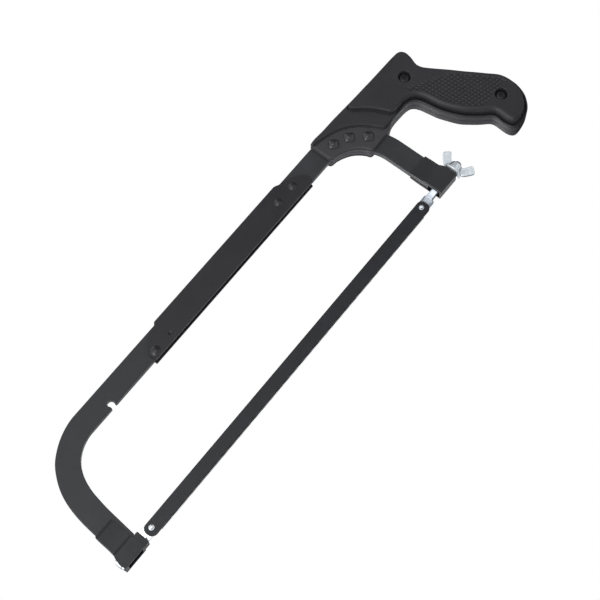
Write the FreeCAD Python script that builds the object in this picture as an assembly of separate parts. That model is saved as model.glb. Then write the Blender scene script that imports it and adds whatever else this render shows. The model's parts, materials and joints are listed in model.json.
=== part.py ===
import FreeCAD, Part
import math
import os

# Adjustable hacksaw: a flat-bar frame in two parts joined by a channel sleeve, a pistol
# handle in two halves, and a wing nut that tensions the blade.
# The origin is on the axis of the front blade peg, in the middle plane of the frame.
# +X runs along the blade to the rear peg, +Z up to the spine, Y is the thickness.
# The cutting edge faces -Z. All sizes are in mm.

Vector = FreeCAD.Vector
SIDES = (-1, 1)           # the -Y side, then the +Y side

# ---------------------------------------------------------------- driving dimensions
PIN_SPAN = 300.0          # distance between the two blade pegs
PLAY = 0.05               # radial play of pins, rivets and threads in their holes

# frame bars
BAR_T = 5.0               # thickness along Y
BAR_DEPTH = 17.0          # width of the flat bar, seen from the side
BAR_EDGE_R = 0.5          # softened long edges
SPINE_TOP = 91.8
SPINE_BOT = SPINE_TOP - BAR_DEPTH
REAR_DROP = 0.3           # the rear bar sits this much lower in the sleeve
BAR_END_Z = 6.0           # the legs stop just above the studs
FRONT_BAR_END_X = 172.0   # rear end of the sliding front bar, inside the sleeve
REAR_BAR_START_X = 228.0  # front end of the fixed rear bar, inside the sleeve
REAR_BEND_X = 284.3       # centre of the rear bend
REAR_LEG_X0 = 315.8       # front edge of the rear leg
REAR_LEG_X1 = REAR_LEG_X0 + BAR_DEPTH
NOTCH_XS = (48.8, 96.8)   # the two length-setting notches
NOTCH_Z = 77.9
NOTCH_R = 2.6
NOTCH_MOUTH = 4.3
LEG_SEAT_Y = BAR_T / 2 + 0.06           # half width of the seats for the legs

# sleeve and its fasteners
SHEET = 1.4                             # sheet thickness
SLEEVE_GAP = 0.1                        # clearance to the front bar
SLEEVE_IN = BAR_T / 2 + SLEEVE_GAP      # inner half width
SLEEVE_OUT = SLEEVE_IN + SHEET
SLEEVE_CEILING = SPINE_TOP + SLEEVE_GAP
SLEEVE_TOP = SLEEVE_CEILING + SHEET
SLEEVE_BOT = 73.3
SLEEVE_X0, SLEEVE_X1 = 91.8, 266.8      # side plates
WEB_X0, WEB_X1 = 113.0, 245.6           # top web
HOOK_X, HOOK_Z, HOOK_R = NOTCH_XS[1], NOTCH_Z, 2.4
RIVET_XS, RIVET_Z, RIVET_R = (238.4, 254.9), 82.3, 2.0
RIVET_HOLE_R = RIVET_R + PLAY

# studs and pegs
TAB_Y0, TAB_Y1 = 0.80, 2.80             # flat tabs of the studs, on the +Y side of the blade
TAB_R = 4.2                             # rounded end, and half height, of the tabs
SHANK = 2.5                             # half width of the square shanks
SHANK_SLOT = SHANK + 0.08               # half width of their passages
THREAD_R = 2.95                         # rear stud thread, M6
PEG_R, PEG_TIP_R, PEG_TIP_L = 1.9, 1.7, 1.5
STUD_PIN_X, STUD_PIN_R = -32.2, 1.1     # upright pin through the front stud

# handle
CORE_Y = 6.5              # half thickness of the front part and core
STEP_Y = 8.2              # half thickness of the middle step
PANEL_Y = 11.6            # half thickness of the main body and grip
HANDLE_SCREWS = ((373.6, 71.2), (405.6, 6.6))                 # (x, z)
HANDLE_RIVETS = ((298.9, 79.3), (310.3, 73.7), (319.6, 63.3))  # (x, z)


# ---------------------------------------------------------------- helpers
def save(shape, name):
    shape.exportStep("parts/" + name + ".step")


def box(x0, x1, y0, y1, z0, z1):
    return Part.makeBox(x1 - x0, y1 - y0, z1 - z0, Vector(x0, y0, z0))


def cyl_y(x, z, radius, y0, y1):
    return Part.makeCylinder(radius, y1 - y0, Vector(x, y0, z), Vector(0, 1, 0))


def cyl_x(radius, x0, x1):
    return Part.makeCylinder(radius, x1 - x0, Vector(x0, 0, 0), Vector(1, 0, 0))


def at_y(points, y=0.0):
    # (x, z) pairs as vectors in the plane at y
    return [Vector(x, y, z) for x, z in points]


def face_through(vectors):
    return Part.Face(Part.makePolygon(vectors + [vectors[0]]))


def prism(points, y0, y1):
    return face_through(at_y(points, y0)).extrude(Vector(0, y1 - y0, 0))


def spline(vectors, **conditions):
    curve = Part.BSplineCurve()
    curve.interpolate(Points=vectors, **conditions)
    return curve.toShape()


def smooth_prism(points, y0, y1):
    edge = spline(at_y(points, y0), PeriodicFlag=True)
    return Part.Face(Part.Wire([edge])).extrude(Vector(0, y1 - y0, 0))


def lines(points):
    # straight edges through (x, z) points in the middle plane
    ends = at_y(points)
    return [Part.makeLine(start, end) for start, end in zip(ends, ends[1:])]


def centred_plate(edges, half_thick):
    # closed outline in the middle plane, thickened equally to both sides
    face = Part.Face(Part.Wire(edges))
    face.translate(Vector(0, -half_thick, 0))
    return face.extrude(Vector(0, 2 * half_thick, 0))


def flat_edges(shape, min_length=0.0):
    # edges that lie in a plane of constant y
    return [edge for edge in shape.Edges
            if edge.BoundBox.YMax - edge.BoundBox.YMin < 1e-4 and edge.Length > min_length]


def edges_at_y(shape, y):
    return [edge for edge in shape.Edges
            if abs(edge.BoundBox.YMin - y) < 1e-4 and abs(edge.BoundBox.YMax - y) < 1e-4]


def revolve_y(profile, x, z):
    # profile of (radius, y) points, turned about the line through (x, z) along Y
    face = face_through([Vector(x + radius, y, z) for radius, y in profile])
    return face.revolve(Vector(x, 0, z), Vector(0, 1, 0), 360)


def dome_rivet(x, z, shank_r, half_grip, head_r, head_h):
    # a rivet with a domed head on both sides
    ball_r = (head_r * head_r + head_h * head_h) / (2.0 * head_h)
    body = cyl_y(x, z, shank_r, -half_grip, half_grip)
    for side in SIDES:
        ball = Part.makeSphere(ball_r, Vector(x, side * (half_grip + head_h - ball_r), z))
        y0, y1 = sorted((side * half_grip, side * (half_grip + head_h + 1)))
        body = body.fuse(ball.common(cyl_y(x, z, head_r + 1.0, y0, y1)))
    return body.removeSplitter()


def lean_sides(body, x0, x1, outer, inner, top_z):
    # bevels both sides above a slope from the outer to the inner (half width, z) point
    section = (outer, (outer[0], top_z), (inner[0], top_z), inner)
    for side in SIDES:
        face = face_through([Vector(x0, side * y, z) for y, z in section])
        body = body.cut(face.extrude(Vector(x1 - x0, 0, 0)))
    return body


# ---------------------------------------------------------------- front frame bar
# outer edge of the front bend and leg, (x, z) from the spine down
FRONT_OUTER = [
    (26.5, SPINE_TOP), (17.0, 90.7), (7.3, 87.7), (0.2, 84.2), (-6.9, 79.4), (-12.7, 73.3),
    (-17.2, 67.0), (-20.9, 60.0), (-23.4, 52.6), (-25.2, 44.6), (-26.3, 37.0), (-27.0, 29.6),
    (-27.5, 22.0),
]
# inner edge, (x, z) from the leg up to the spine
FRONT_INNER = [
    (-9.3, 22.0), (-8.6, 29.8), (-7.5, 37.6), (-6.1, 45.4), (-3.7, 53.2), (-0.1, 60.4),
    (4.3, 66.0), (9.2, 69.8), (15.0, 72.7), (21.4, 74.4), (27.5, SPINE_BOT),
]
FRONT_LEG_END_XS = (-28.5, -10.74)      # outer and inner corner of the leg's end


def front_bar():
    outer = spline(at_y(FRONT_OUTER), InitialTangent=Vector(-1, 0, 0),
                   FinalTangent=Vector(-0.0625, 0, -1))
    inner = spline(at_y(FRONT_INNER), InitialTangent=Vector(0.09, 0, 1),
                   FinalTangent=Vector(1, 0, 0))
    leg_end = [(x, BAR_END_Z) for x in FRONT_LEG_END_XS]
    spine_end = [(FRONT_BAR_END_X, SPINE_BOT), (FRONT_BAR_END_X, SPINE_TOP)]
    edges = [outer] + lines([FRONT_OUTER[-1]] + leg_end + [FRONT_INNER[0]])
    edges += [inner] + lines([FRONT_INNER[-1]] + spine_end + [FRONT_OUTER[0]])
    bar = centred_plate(edges, BAR_T / 2)
    for x in NOTCH_XS:
        bar = bar.cut(cyl_y(x, NOTCH_Z, NOTCH_R, -4, 4))
        half_mouth = NOTCH_MOUTH / 2
        bar = bar.cut(box(x - half_mouth, x + half_mouth, -4, 4, SPINE_BOT - 1, NOTCH_Z))
    # guards the fillet along the splines: if it fails, the edges stay sharp
    try:
        bar = bar.makeFillet(BAR_EDGE_R, flat_edges(bar, min_length=25))
    except Exception:
        pass
    return bar


# ---------------------------------------------------------------- rear frame bar
def rear_bar_solid(grow, half_thick):
    # the plain bar; grow enlarges its outline to make a seat for it
    bend_z = SPINE_TOP - REAR_DROP - (REAR_LEG_X1 - REAR_BEND_X)
    outer_r = REAR_LEG_X1 - REAR_BEND_X + grow
    inner_r = REAR_LEG_X0 - REAR_BEND_X - grow
    start_x = REAR_BAR_START_X - grow
    end_z = BAR_END_Z - grow

    def quarter(radius):
        # start, middle and end of the bend, from the spine to the leg
        diagonal = radius * math.sqrt(0.5)
        return [(REAR_BEND_X, bend_z + radius),
                (REAR_BEND_X + diagonal, bend_z + diagonal),
                (REAR_BEND_X + radius, bend_z)]

    outer = quarter(outer_r)
    inner = quarter(inner_r)[::-1]
    start_top = (start_x, bend_z + outer_r)
    edges = lines([start_top, outer[0]])
    edges += [Part.Arc(*at_y(outer)).toShape()]
    edges += lines([outer[2], (REAR_BEND_X + outer_r, end_z),
                    (REAR_BEND_X + inner_r, end_z), inner[0]])
    edges += [Part.Arc(*at_y(inner)).toShape()]
    edges += lines([inner[2], (start_x, bend_z + inner_r), start_top])
    return centred_plate(edges, half_thick)


def rear_bar():
    bar = rear_bar_solid(0.0, BAR_T / 2)
    bar = bar.makeFillet(BAR_EDGE_R, flat_edges(bar, min_length=20))
    for x, z in [(x, RIVET_Z) for x in RIVET_XS] + list(HANDLE_RIVETS):
        bar = bar.cut(cyl_y(x, z, RIVET_HOLE_R, -4, 4))
    return bar


# ---------------------------------------------------------------- channel sleeve
# rounded front end of the side plates, (x, z) going up
SLEEVE_FRONT = [
    (SLEEVE_X0, 76.4), (91.6, 79.6), (94.0, 83.2), (98.6, 86.7), (104.0, 89.2), (110.4, 91.0),
]
# the rear end mirrors the front one, slightly shortened and bulging past the lower corner
SLEEVE_REAR_BULGE = 0.8
SLEEVE_REAR_SCALE = 0.96
SLEEVE_REAR = [
    (SLEEVE_X1 + SLEEVE_REAR_BULGE - (x - SLEEVE_X0) * SLEEVE_REAR_SCALE, z)
    for x, z in SLEEVE_FRONT
]


def sleeve():
    # one sheet folded over the bars: long side plates with rounded ends, shorter top web
    edges = [spline(at_y(SLEEVE_FRONT))]
    edges += lines([SLEEVE_FRONT[-1], (WEB_X0, SLEEVE_TOP), (WEB_X1, SLEEVE_TOP),
                    SLEEVE_REAR[-1]])
    edges += [spline(at_y(SLEEVE_REAR[::-1]))]
    edges += lines([SLEEVE_REAR[0], (SLEEVE_X1, SLEEVE_BOT), (SLEEVE_X0, SLEEVE_BOT),
                    SLEEVE_FRONT[0]])
    body = centred_plate(edges, SLEEVE_OUT)
    # folded corners of the sheet
    folds = [edge for edge in body.Edges
             if edge.BoundBox.ZMin > SLEEVE_TOP - 1e-3 and edge.Length > 100]
    body = body.makeFillet(1.3, folds)
    body = body.cut(box(80, 280, -SLEEVE_IN, SLEEVE_IN, 60, SLEEVE_CEILING))
    for side in SIDES:
        y0, y1 = sorted((side * (SLEEVE_IN - 0.5), side * (SLEEVE_OUT + 0.5)))
        body = body.cut(cyl_y(HOOK_X, HOOK_Z, HOOK_R + PLAY, y0, y1))
        for x in RIVET_XS:
            body = body.cut(cyl_y(x, RIVET_Z, RIVET_HOLE_R, y0, y1))
    # shallow round dimple in each side plate, behind the hook pin
    for side in SIDES:
        body = body.cut(Part.makeSphere(2.6, Vector(113.2, side * (SLEEVE_OUT + 1.95), 79.0)))
    return body


def hook_pin():
    return dome_rivet(HOOK_X, HOOK_Z, HOOK_R, SLEEVE_OUT, head_r=3.9, head_h=1.5)


def sleeve_rivet(x):
    return dome_rivet(x, RIVET_Z, RIVET_R, SLEEVE_OUT, head_r=3.2, head_h=1.5)


# ---------------------------------------------------------------- holders at the leg ends
# side outlines, (x, z)
FRONT_CLIP = [(-28.4, 24.6), (-12.9, 24.6), (-13.5, 5.0), (-30.2, 5.0), (-29.2, 12.0)]
FRONT_LOWER = [
    (-29.9, 7.6), (-13.4, 7.6), (-13.2, 4.6), (-13.2, -6.0), (-32.4, -6.0), (-32.9, -1.5),
    (-31.7, 3.6),
]
FRONT_SEAT_Z = BAR_END_Z - 0.03
FRONT_SEAT = [
    (-28.62, FRONT_SEAT_Z), (-8.0, FRONT_SEAT_Z), (-8.0, 28.0), (-27.2, 28.0), (-27.62, 22.0),
]
REAR_HOLDER_X1 = 336.2
REAR_HOLDER = [
    (315.5, 21.8), (333.4, 21.8), (333.5, 9.6), (335.0, 6.6), (REAR_HOLDER_X1, 3.4),
    (REAR_HOLDER_X1, -3.2), (334.6, -5.4), (315.5, -5.4),
]
REAR_HOLDER_Y = 4.9
REAR_SLOT_Z = -4.6        # floor of the shank slot


def front_holder():
    # clip round the leg, sloped onto the bar at the top
    clip = prism(FRONT_CLIP, -3.9, 3.9)
    clip = lean_sides(clip, -40, 0, outer=(4.0, 22.0), inner=(2.74, 24.3), top_z=26)
    # wider lower part round the stud, sloped onto the clip
    lower = prism(FRONT_LOWER, -5.0, 5.0)
    lower = lean_sides(lower, -40, 0, outer=(5.1, 5.2), inner=(3.8, 7.5), top_z=9)
    # nose towards the blade, rounded at its upper and lower edges
    nose = box(-14.0, -8.4, -3.7, 3.7, -5.7, 4.9)
    nose_edges = [edge for edge in nose.Edges if edge.BoundBox.XMin > -8.5
                  and edge.BoundBox.YMax - edge.BoundBox.YMin > 5]
    nose = nose.makeFillet(1.0, nose_edges)
    body = clip.fuse([lower, nose]).removeSplitter()
    # seat for the leg, open at the inner side
    body = body.cut(prism(FRONT_SEAT, -LEG_SEAT_Y, LEG_SEAT_Y))
    # passage for the square shank
    body = body.cut(box(-45, 0, -SHANK_SLOT, SHANK_SLOT, -SHANK_SLOT, SHANK_SLOT))
    # slot in the nose that the stud's flat tab slides back into
    body = body.cut(box(-11.2, -8.0, TAB_Y0 - 0.1, TAB_Y1 + 0.1, -4.35, 4.35))
    # pocket round the stud's pin
    body = body.cut(box(-40, -30.6, -3.6, 3.6, -4.3, 4.3))
    # open underside between the side plates
    return body.cut(box(-29.6, -15.4, -3.7, 3.7, -7.0, -4.2))


def rear_holder():
    # folded sheet channel, closed behind the leg and open in front
    body = prism(REAR_HOLDER, -REAR_HOLDER_Y, REAR_HOLDER_Y)
    for side in SIDES:
        body = body.makeFillet(0.9, edges_at_y(body, side * REAR_HOLDER_Y))
    # side plates lean in towards the leg at the top
    body = lean_sides(body, 310, 340, outer=(5.0, 8.2), inner=(3.5, 21.8), top_z=23)
    leg_floor = BAR_END_Z - 0.02
    body = body.cut(box(310.0, REAR_LEG_X1 + 0.05, -LEG_SEAT_Y, LEG_SEAT_Y, leg_floor, 30))
    # guide slot for the square shank, wider at its front end
    body = body.cut(box(310.0, 331.8, -SHANK_SLOT, SHANK_SLOT, REAR_SLOT_Z, BAR_END_Z))
    body = body.cut(box(310.0, 318.0, -3.3, 3.3, REAR_SLOT_Z, leg_floor))
    # round hole in the rear web for the thread
    return body.cut(cyl_x(THREAD_R + 0.08, 323.0, 340))


# ---------------------------------------------------------------- blade
BLADE_X0, BLADE_X1 = -5.3, PIN_SPAN + 5.0
BLADE_Y0, BLADE_T = 0.10, 0.65          # -Y face and thickness
BLADE_BACK = 4.5                        # back edge above the peg axis
BLADE_TEETH = -6.4                      # tooth tips below the peg axis
BLADE_HOLE_R = 2.0
BACK_CORNER_R, TOOTH_CORNER_R = 4.2, 4.6
CORNER_STEPS = 10
TOOTH_PITCH = 25.4 / 24                 # 24 teeth per inch
TOOTH_DEPTH = 0.6
TOOTH_TIP = (0.09, 0.26)                # start and end of the flat tip, from the tooth's start
TOOTH_MARGIN = 4.0                      # toothless length inside each peg axis


def corner(x, z, radius, start_angle):
    # quarter circle of points round the centre (x, z)
    points = []
    for i in range(CORNER_STEPS + 1):
        angle = math.radians(start_angle + 90 * i / CORNER_STEPS)
        points.append((x + radius * math.cos(angle), z + radius * math.sin(angle)))
    return points


def blade():
    root_z = BLADE_TEETH + TOOTH_DEPTH
    back_z = BLADE_BACK - BACK_CORNER_R
    tooth_corner_z = root_z + TOOTH_CORNER_R
    points = corner(BLADE_X0 + BACK_CORNER_R, back_z, BACK_CORNER_R, 90)
    points += corner(BLADE_X0 + TOOTH_CORNER_R, tooth_corner_z, TOOTH_CORNER_R, 180)
    # teeth: steep front face, small flat tip, sloping back
    x = TOOTH_MARGIN
    while x + TOOTH_PITCH < PIN_SPAN - TOOTH_MARGIN:
        points.append((x, root_z))
        points += [(x + offset, BLADE_TEETH) for offset in TOOTH_TIP]
        x += TOOTH_PITCH
    points.append((x, root_z))
    points += corner(BLADE_X1 - TOOTH_CORNER_R, tooth_corner_z, TOOTH_CORNER_R, 270)
    points += corner(BLADE_X1 - BACK_CORNER_R, back_z, BACK_CORNER_R, 0)
    body = prism(points, BLADE_Y0, BLADE_Y0 + BLADE_T)
    for peg_x in (0.0, PIN_SPAN):
        body = body.cut(cyl_y(peg_x, 0.0, BLADE_HOLE_R, -1, 2))
    return body


# ---------------------------------------------------------------- studs and pegs
def stud_tab(peg_x, end_x):
    # flat tab, round about the peg, with its upright corners rounded at end_x
    disc = cyl_y(peg_x, 0.0, TAB_R, TAB_Y0, TAB_Y1)
    plate = box(min(peg_x, end_x), max(peg_x, end_x), TAB_Y0, TAB_Y1, -TAB_R, TAB_R)
    tab = disc.fuse(plate).removeSplitter()
    end_edges = []
    for edge in tab.Edges:
        bounds = edge.BoundBox
        at_end = abs(bounds.XMin - end_x) < 1e-3 and abs(bounds.XMax - end_x) < 1e-3
        if at_end and bounds.YMax - bounds.YMin > 1:
            end_edges.append(edge)
    return tab.makeFillet(1.0, end_edges)


def square_shank(x0, x1):
    shank = box(x0, x1, -SHANK, SHANK, -SHANK, SHANK)
    return shank.makeFillet(0.4, [edge for edge in shank.Edges if edge.Length > 15])


def tab_trim(x0, x1):
    # removes the shank on the -Y side of the tab
    return box(x0, x1, -6, TAB_Y0, -6, 6)


def peg_hole(peg_x):
    return cyl_y(peg_x, 0.0, PEG_R + PLAY, 0, 4)


def front_stud():
    shank = square_shank(-33.6, -6.6).cut(tab_trim(-7.0, 10))
    body = stud_tab(0.0, -7.9).fuse(shank).removeSplitter()
    body = body.cut(peg_hole(0.0))
    return body.cut(Part.makeCylinder(STUD_PIN_R + 0.06, 12, Vector(STUD_PIN_X, 0, -6)))


def front_stud_pin():
    pin = Part.makeCylinder(STUD_PIN_R, 8.4, Vector(STUD_PIN_X, 0, -4.2))
    rims = [edge for edge in pin.Edges if edge.BoundBox.ZMax - edge.BoundBox.ZMin < 1e-6]
    return pin.makeFillet(0.3, rims)


def rear_stud():
    shank = square_shank(308.6, 328.0).cut(tab_trim(300, 309.0))
    rod = cyl_x(THREAD_R, 327.5, 346.0)
    rod = rod.makeFillet(0.9, [edge for edge in rod.Edges if edge.BoundBox.XMin > 345.9])
    body = stud_tab(PIN_SPAN, PIN_SPAN + 9.8).fuse([shank, rod]).removeSplitter()
    return body.cut(peg_hole(PIN_SPAN))


def peg(peg_x):
    # the tip points to -Y, through the blade
    profile = [(0, TAB_Y1), (PEG_R, TAB_Y1), (PEG_R, 0.0), (PEG_TIP_R, 0.0),
               (PEG_TIP_R, -PEG_TIP_L), (PEG_TIP_R - 0.5, -PEG_TIP_L - 0.45),
               (0, -PEG_TIP_L - 0.6)]
    return revolve_y(profile, peg_x, 0.0)


# ---------------------------------------------------------------- tension hardware
WASHER_X0 = REAR_HOLDER_X1 + 0.05
WASHER_X1 = WASHER_X0 + 1.5
NUT_X0 = WASHER_X1 + 0.05
WING_Y = 1.15             # half thickness of the wings

# half section of the hub, (x from the nut's front face, radius)
HUB = [(0, 0), (0, 5.4), (1.6, 5.3), (5.4, 4.3), (5.9, 3.9), (5.9, 0)]
# one wing, (x from the nut's front face, distance from the axis)
WING = [
    (0.3, 3.4), (0.2, 5.4), (0.3, 7.4), (1.1, 9.2), (2.7, 10.8), (4.8, 12.4), (6.7, 13.6),
    (8.0, 13.6), (9.4, 12.4), (10.8, 10.7), (11.0, 9.4), (9.5, 8.0), (7.5, 6.7), (6.1, 5.5),
    (5.3, 4.4), (4.8, 3.3),
]


def washer():
    body = cyl_x(7.2, WASHER_X0, WASHER_X1).cut(cyl_x(3.2, 330, 345))
    outer_rims = [edge for edge in body.Edges
                  if edge.BoundBox.XMax - edge.BoundBox.XMin < 1e-6 and edge.Length > 30]
    return body.makeFillet(0.25, outer_rims)


def wing_nut():
    hub_face = face_through(at_y([(NUT_X0 + x, radius) for x, radius in HUB]))
    body = hub_face.revolve(Vector(0, 0, 0), Vector(1, 0, 0), 360)
    for up in (1, -1):
        wing = smooth_prism([(NUT_X0 + x, up * z) for x, z in WING], -WING_Y, WING_Y)
        body = body.fuse(wing.makeFillet(0.7, flat_edges(wing)))
    body = body.removeSplitter()
    return body.cut(cyl_x(THREAD_R + PLAY, 330, 350))


# ---------------------------------------------------------------- handle
# core outline, (x, z) from the front top corner clockwise round the pommel and back
CORE = [
    (289.2, 92.6), (300.0, 92.5), (312.0, 92.2), (328.0, 91.5), (351.0, 90.6), (373.0, 90.1),
    (384.1, 89.8), (389.1, 89.0), (392.1, 86.7), (393.0, 83.0), (392.5, 79.0), (391.0, 75.0),
    (390.1, 71.2), (390.5, 67.3), (392.7, 63.1), (395.9, 58.1), (401.3, 49.5), (406.4, 41.1),
    (411.8, 32.5), (417.1, 24.1), (419.8, 19.7), (421.5, 15.3), (422.2, 10.8), (422.3, 6.4),
    (421.7, 2.1), (420.4, -2.1), (418.6, -6.0), (416.1, -9.4), (412.7, -12.8), (408.4, -15.5),
    (403.6, -17.0), (399.0, -17.7), (395.3, -17.9), (391.7, -17.0), (389.7, -14.0),
    (389.2, -10.0), (389.4, -5.0), (389.5, -1.0), (388.8, 1.8), (386.3, 4.9), (382.3, 9.3),
    (378.7, 14.0), (375.4, 18.6), (373.1, 23.2), (371.3, 27.9), (369.7, 32.4), (368.4, 36.9),
    (367.7, 41.0), (367.0, 45.0), (366.3, 48.9), (365.2, 52.4), (363.2, 55.4), (359.6, 57.1),
    (354.0, 57.7), (347.0, 57.9), (341.5, 57.5), (338.0, 56.6), (335.4, 55.3), (332.6, 54.5),
    (328.0, 54.4), (320.0, 54.4), (314.0, 54.4), (312.4, 55.0), (311.4, 57.2), (309.3, 61.2),
    (306.0, 65.3), (301.8, 68.6), (297.2, 71.0), (292.5, 72.5), (289.8, 72.9), (288.2, 74.1),
    (287.8, 76.2), (287.8, 83.0), (287.9, 90.4), (288.3, 92.3),
]

# raised main block and grip, (x, z)
PANEL = [
    (330.4, 89.5), (334.0, 89.6), (342.0, 89.4), (351.0, 89.1), (373.0, 88.6), (383.6, 88.2),
    (388.3, 87.0), (390.6, 83.0), (390.1, 79.2), (388.5, 75.2), (387.6, 71.2), (388.1, 66.7),
    (390.4, 62.1), (393.7, 56.8), (399.2, 48.2), (404.2, 39.8), (409.6, 31.3), (414.8, 22.9),
    (417.4, 18.7), (418.9, 14.7), (419.5, 10.5), (419.5, 6.4), (418.7, 2.6), (417.3, -0.8),
    (415.6, -4.3), (413.4, -7.3), (410.6, -10.2), (407.0, -12.8), (403.1, -14.3),
    (398.8, -15.0), (395.8, -15.0), (393.3, -13.6), (392.3, -11.0), (391.9, -8.0),
    (392.2, -4.0), (392.3, -1.0), (391.8, 2.0), (390.2, 4.9), (386.1, 9.3), (382.0, 14.3),
    (378.6, 19.2), (376.1, 24.1), (374.1, 28.9), (372.5, 33.5), (371.3, 37.9), (370.7, 42.0),
    (370.2, 46.0), (369.4, 50.1), (367.7, 54.5), (364.6, 58.1), (360.0, 60.0), (354.0, 60.4),
    (347.4, 60.4), (344.2, 61.3), (342.7, 63.9), (340.5, 69.0), (336.7, 75.6), (332.0, 81.6),
    (329.0, 85.4), (328.4, 87.9),
]

# middle step in front of the panel, (x, z)
STEP = [
    (290.0, 91.1), (300.0, 91.1), (312.0, 90.8), (328.0, 90.1), (337.0, 89.6), (342.0, 84.0),
    (347.0, 74.0), (350.0, 64.0), (349.0, 60.2), (345.4, 59.0), (339.3, 58.5), (334.6, 58.0),
    (332.3, 58.2), (331.2, 59.6), (329.2, 63.3), (325.1, 70.5), (319.7, 76.9), (313.4, 81.9),
    (304.4, 86.3), (296.0, 88.5), (290.6, 89.4),
]

# hollow inside each half, (x, z)
HOLLOW = [
    (345.0, 66.0), (361.0, 64.4), (369.4, 61.0), (374.0, 53.0), (375.8, 43.0), (379.6, 31.0),
    (386.4, 18.6), (394.6, 8.6), (396.6, 0.0), (396.6, -8.6), (403.0, -9.6), (410.0, -6.0),
    (414.0, 2.0), (414.0, 9.6), (411.6, 17.4), (402.0, 33.6), (391.6, 50.6), (384.4, 62.6),
    (382.6, 70.0), (384.4, 78.0), (382.0, 82.4), (360.0, 83.2), (345.0, 83.6), (342.0, 80.0),
]

PANEL_WALL = 2.6          # wall left outside the hollow
BOSS_R = 6.4              # screw bosses left standing in the hollow
POCKET_Y = 7.4            # floor of the screw head and nut pockets
FASTENER_Y = POCKET_Y + 0.05            # seat of the screw heads and nuts
SCREW_R = 2.4
NUT_ACROSS = 8.0          # across flats

# screw head, (radius, y)
SCREW_HEAD = [(0, -FASTENER_Y), (4.2, -FASTENER_Y), (4.2, -8.2), (3.6, -9.0), (2.4, -9.45),
              (0, -9.6)]


def hexagon(x, z, across, y0, y1):
    radius = across / 2 / math.cos(math.radians(30))
    angles = [math.radians(60 * i) for i in range(6)]
    points = [(x + radius * math.cos(angle), z + radius * math.sin(angle)) for angle in angles]
    return prism(points, y0, y1)


def handle_half(side):
    # built on the +Y side; the -Y half is mirrored at the end
    core = smooth_prism(CORE, 0.0, CORE_Y)
    core = core.makeFillet(0.8, edges_at_y(core, CORE_Y))
    step = smooth_prism(STEP, CORE_Y - 2.0, STEP_Y)
    panel = smooth_prism(PANEL, CORE_Y - 2.0, PANEL_Y)
    panel = panel.makeFillet(1.0, edges_at_y(panel, PANEL_Y))
    body = core.fuse([step, panel])
    first_boss, second_boss = [cyl_y(x, z, BOSS_R, -2, 12) for x, z in HANDLE_SCREWS]
    hollow = smooth_prism(HOLLOW, -1.0, PANEL_Y - PANEL_WALL)
    body = body.cut(hollow.cut(first_boss.fuse(second_boss)))
    # seat for the rear bar
    body = body.cut(rear_bar_solid(0.06, BAR_T / 2 + 0.04))
    for x, z in HANDLE_RIVETS:
        body = body.cut(cyl_y(x, z, RIVET_HOLE_R, -1, 12))
    # round pockets for the screw heads at -Y, hexagonal ones for the nuts at +Y
    for x, z in HANDLE_SCREWS:
        body = body.cut(cyl_y(x, z, SCREW_R + 0.2, -1, 14))
        if side < 0:
            body = body.cut(cyl_y(x, z, 4.8, POCKET_Y, 14))
        else:
            body = body.cut(hexagon(x, z, NUT_ACROSS + 0.3, POCKET_Y, 14))
    if side < 0:
        body = body.mirror(Vector(0, 0, 0), Vector(0, 1, 0))
    return body


def handle_screw(x, z):
    # pan head with a cross recess on the -Y side, shank through to the nut
    head = revolve_y(SCREW_HEAD, x, z)
    shank = cyl_y(x, z, SCREW_R, -7.5, 11.2)
    arm, half_slot = 2.0, 0.45
    cross = box(x - arm, x + arm, -11, -8.5, z - half_slot, z + half_slot)
    cross = cross.fuse(box(x - half_slot, x + half_slot, -11, -8.5, z - arm, z + arm))
    return head.fuse(shank).removeSplitter().cut(cross)


def handle_nut(x, z):
    body = hexagon(x, z, NUT_ACROSS, FASTENER_Y, 11.0)
    return body.cut(cyl_y(x, z, SCREW_R + PLAY, 6, 13))


def diamond(x, y, z, half_diagonal):
    # square wire standing on its corner
    corners = []
    for i in (0, 1, 2, 3, 0):
        angle = math.radians(90 * i)
        corners.append(Vector(x + half_diagonal * math.cos(angle), y,
                              z + half_diagonal * math.sin(angle)))
    return Part.makePolygon(corners)


def handle_rivet(x, z):
    # rivet with low pyramid heads turned on their corners
    base_half, top_half = 4.6, 1.5
    rim_h, head_h = 0.35, 1.7
    body = cyl_y(x, z, RIVET_R, -CORE_Y, CORE_Y)
    for side in SIDES:
        base = diamond(x, side * CORE_Y, z, base_half)
        rim = diamond(x, side * (CORE_Y + rim_h), z, base_half)
        top = diamond(x, side * (CORE_Y + head_h), z, top_half)
        slab = Part.makeLoft([base, rim], True, True)
        pyramid = Part.makeLoft([rim, top], True, True)
        head = slab.fuse(pyramid).removeSplitter()
        # guards the fillet of the rim and slope edges: if it fails, they stay sharp
        try:
            rising = [edge for edge in head.Edges
                      if edge.BoundBox.YMax - edge.BoundBox.YMin > 0.2]
            head = head.makeFillet(0.55, rising)
        except Exception:
            pass
        body = body.fuse(head)
    return body.removeSplitter()


# ---------------------------------------------------------------- write every piece
os.makedirs("parts", exist_ok=True)
save(front_bar(), "front_frame_bar")
save(rear_bar(), "rear_frame_bar")
save(sleeve(), "channel_sleeve")
save(hook_pin(), "hook_pin")
save(Part.Compound([sleeve_rivet(x) for x in RIVET_XS]), "sleeve_rivets")
save(front_holder(), "front_holder")
save(rear_holder(), "rear_holder")
save(blade(), "blade")
save(front_stud(), "front_stud")
save(front_stud_pin(), "front_stud_pin")
save(peg(0.0), "front_blade_peg")
save(rear_stud(), "rear_stud")
save(peg(PIN_SPAN), "rear_blade_peg")
save(washer(), "tension_washer")
save(wing_nut(), "wing_nut")
save(handle_half(-1), "left_handle_half")
save(handle_half(1), "right_handle_half")
save(Part.Compound([handle_rivet(x, z) for x, z in HANDLE_RIVETS]), "handle_rivets")
save(Part.Compound([handle_screw(x, z) for x, z in HANDLE_SCREWS]), "handle_screws")
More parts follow.
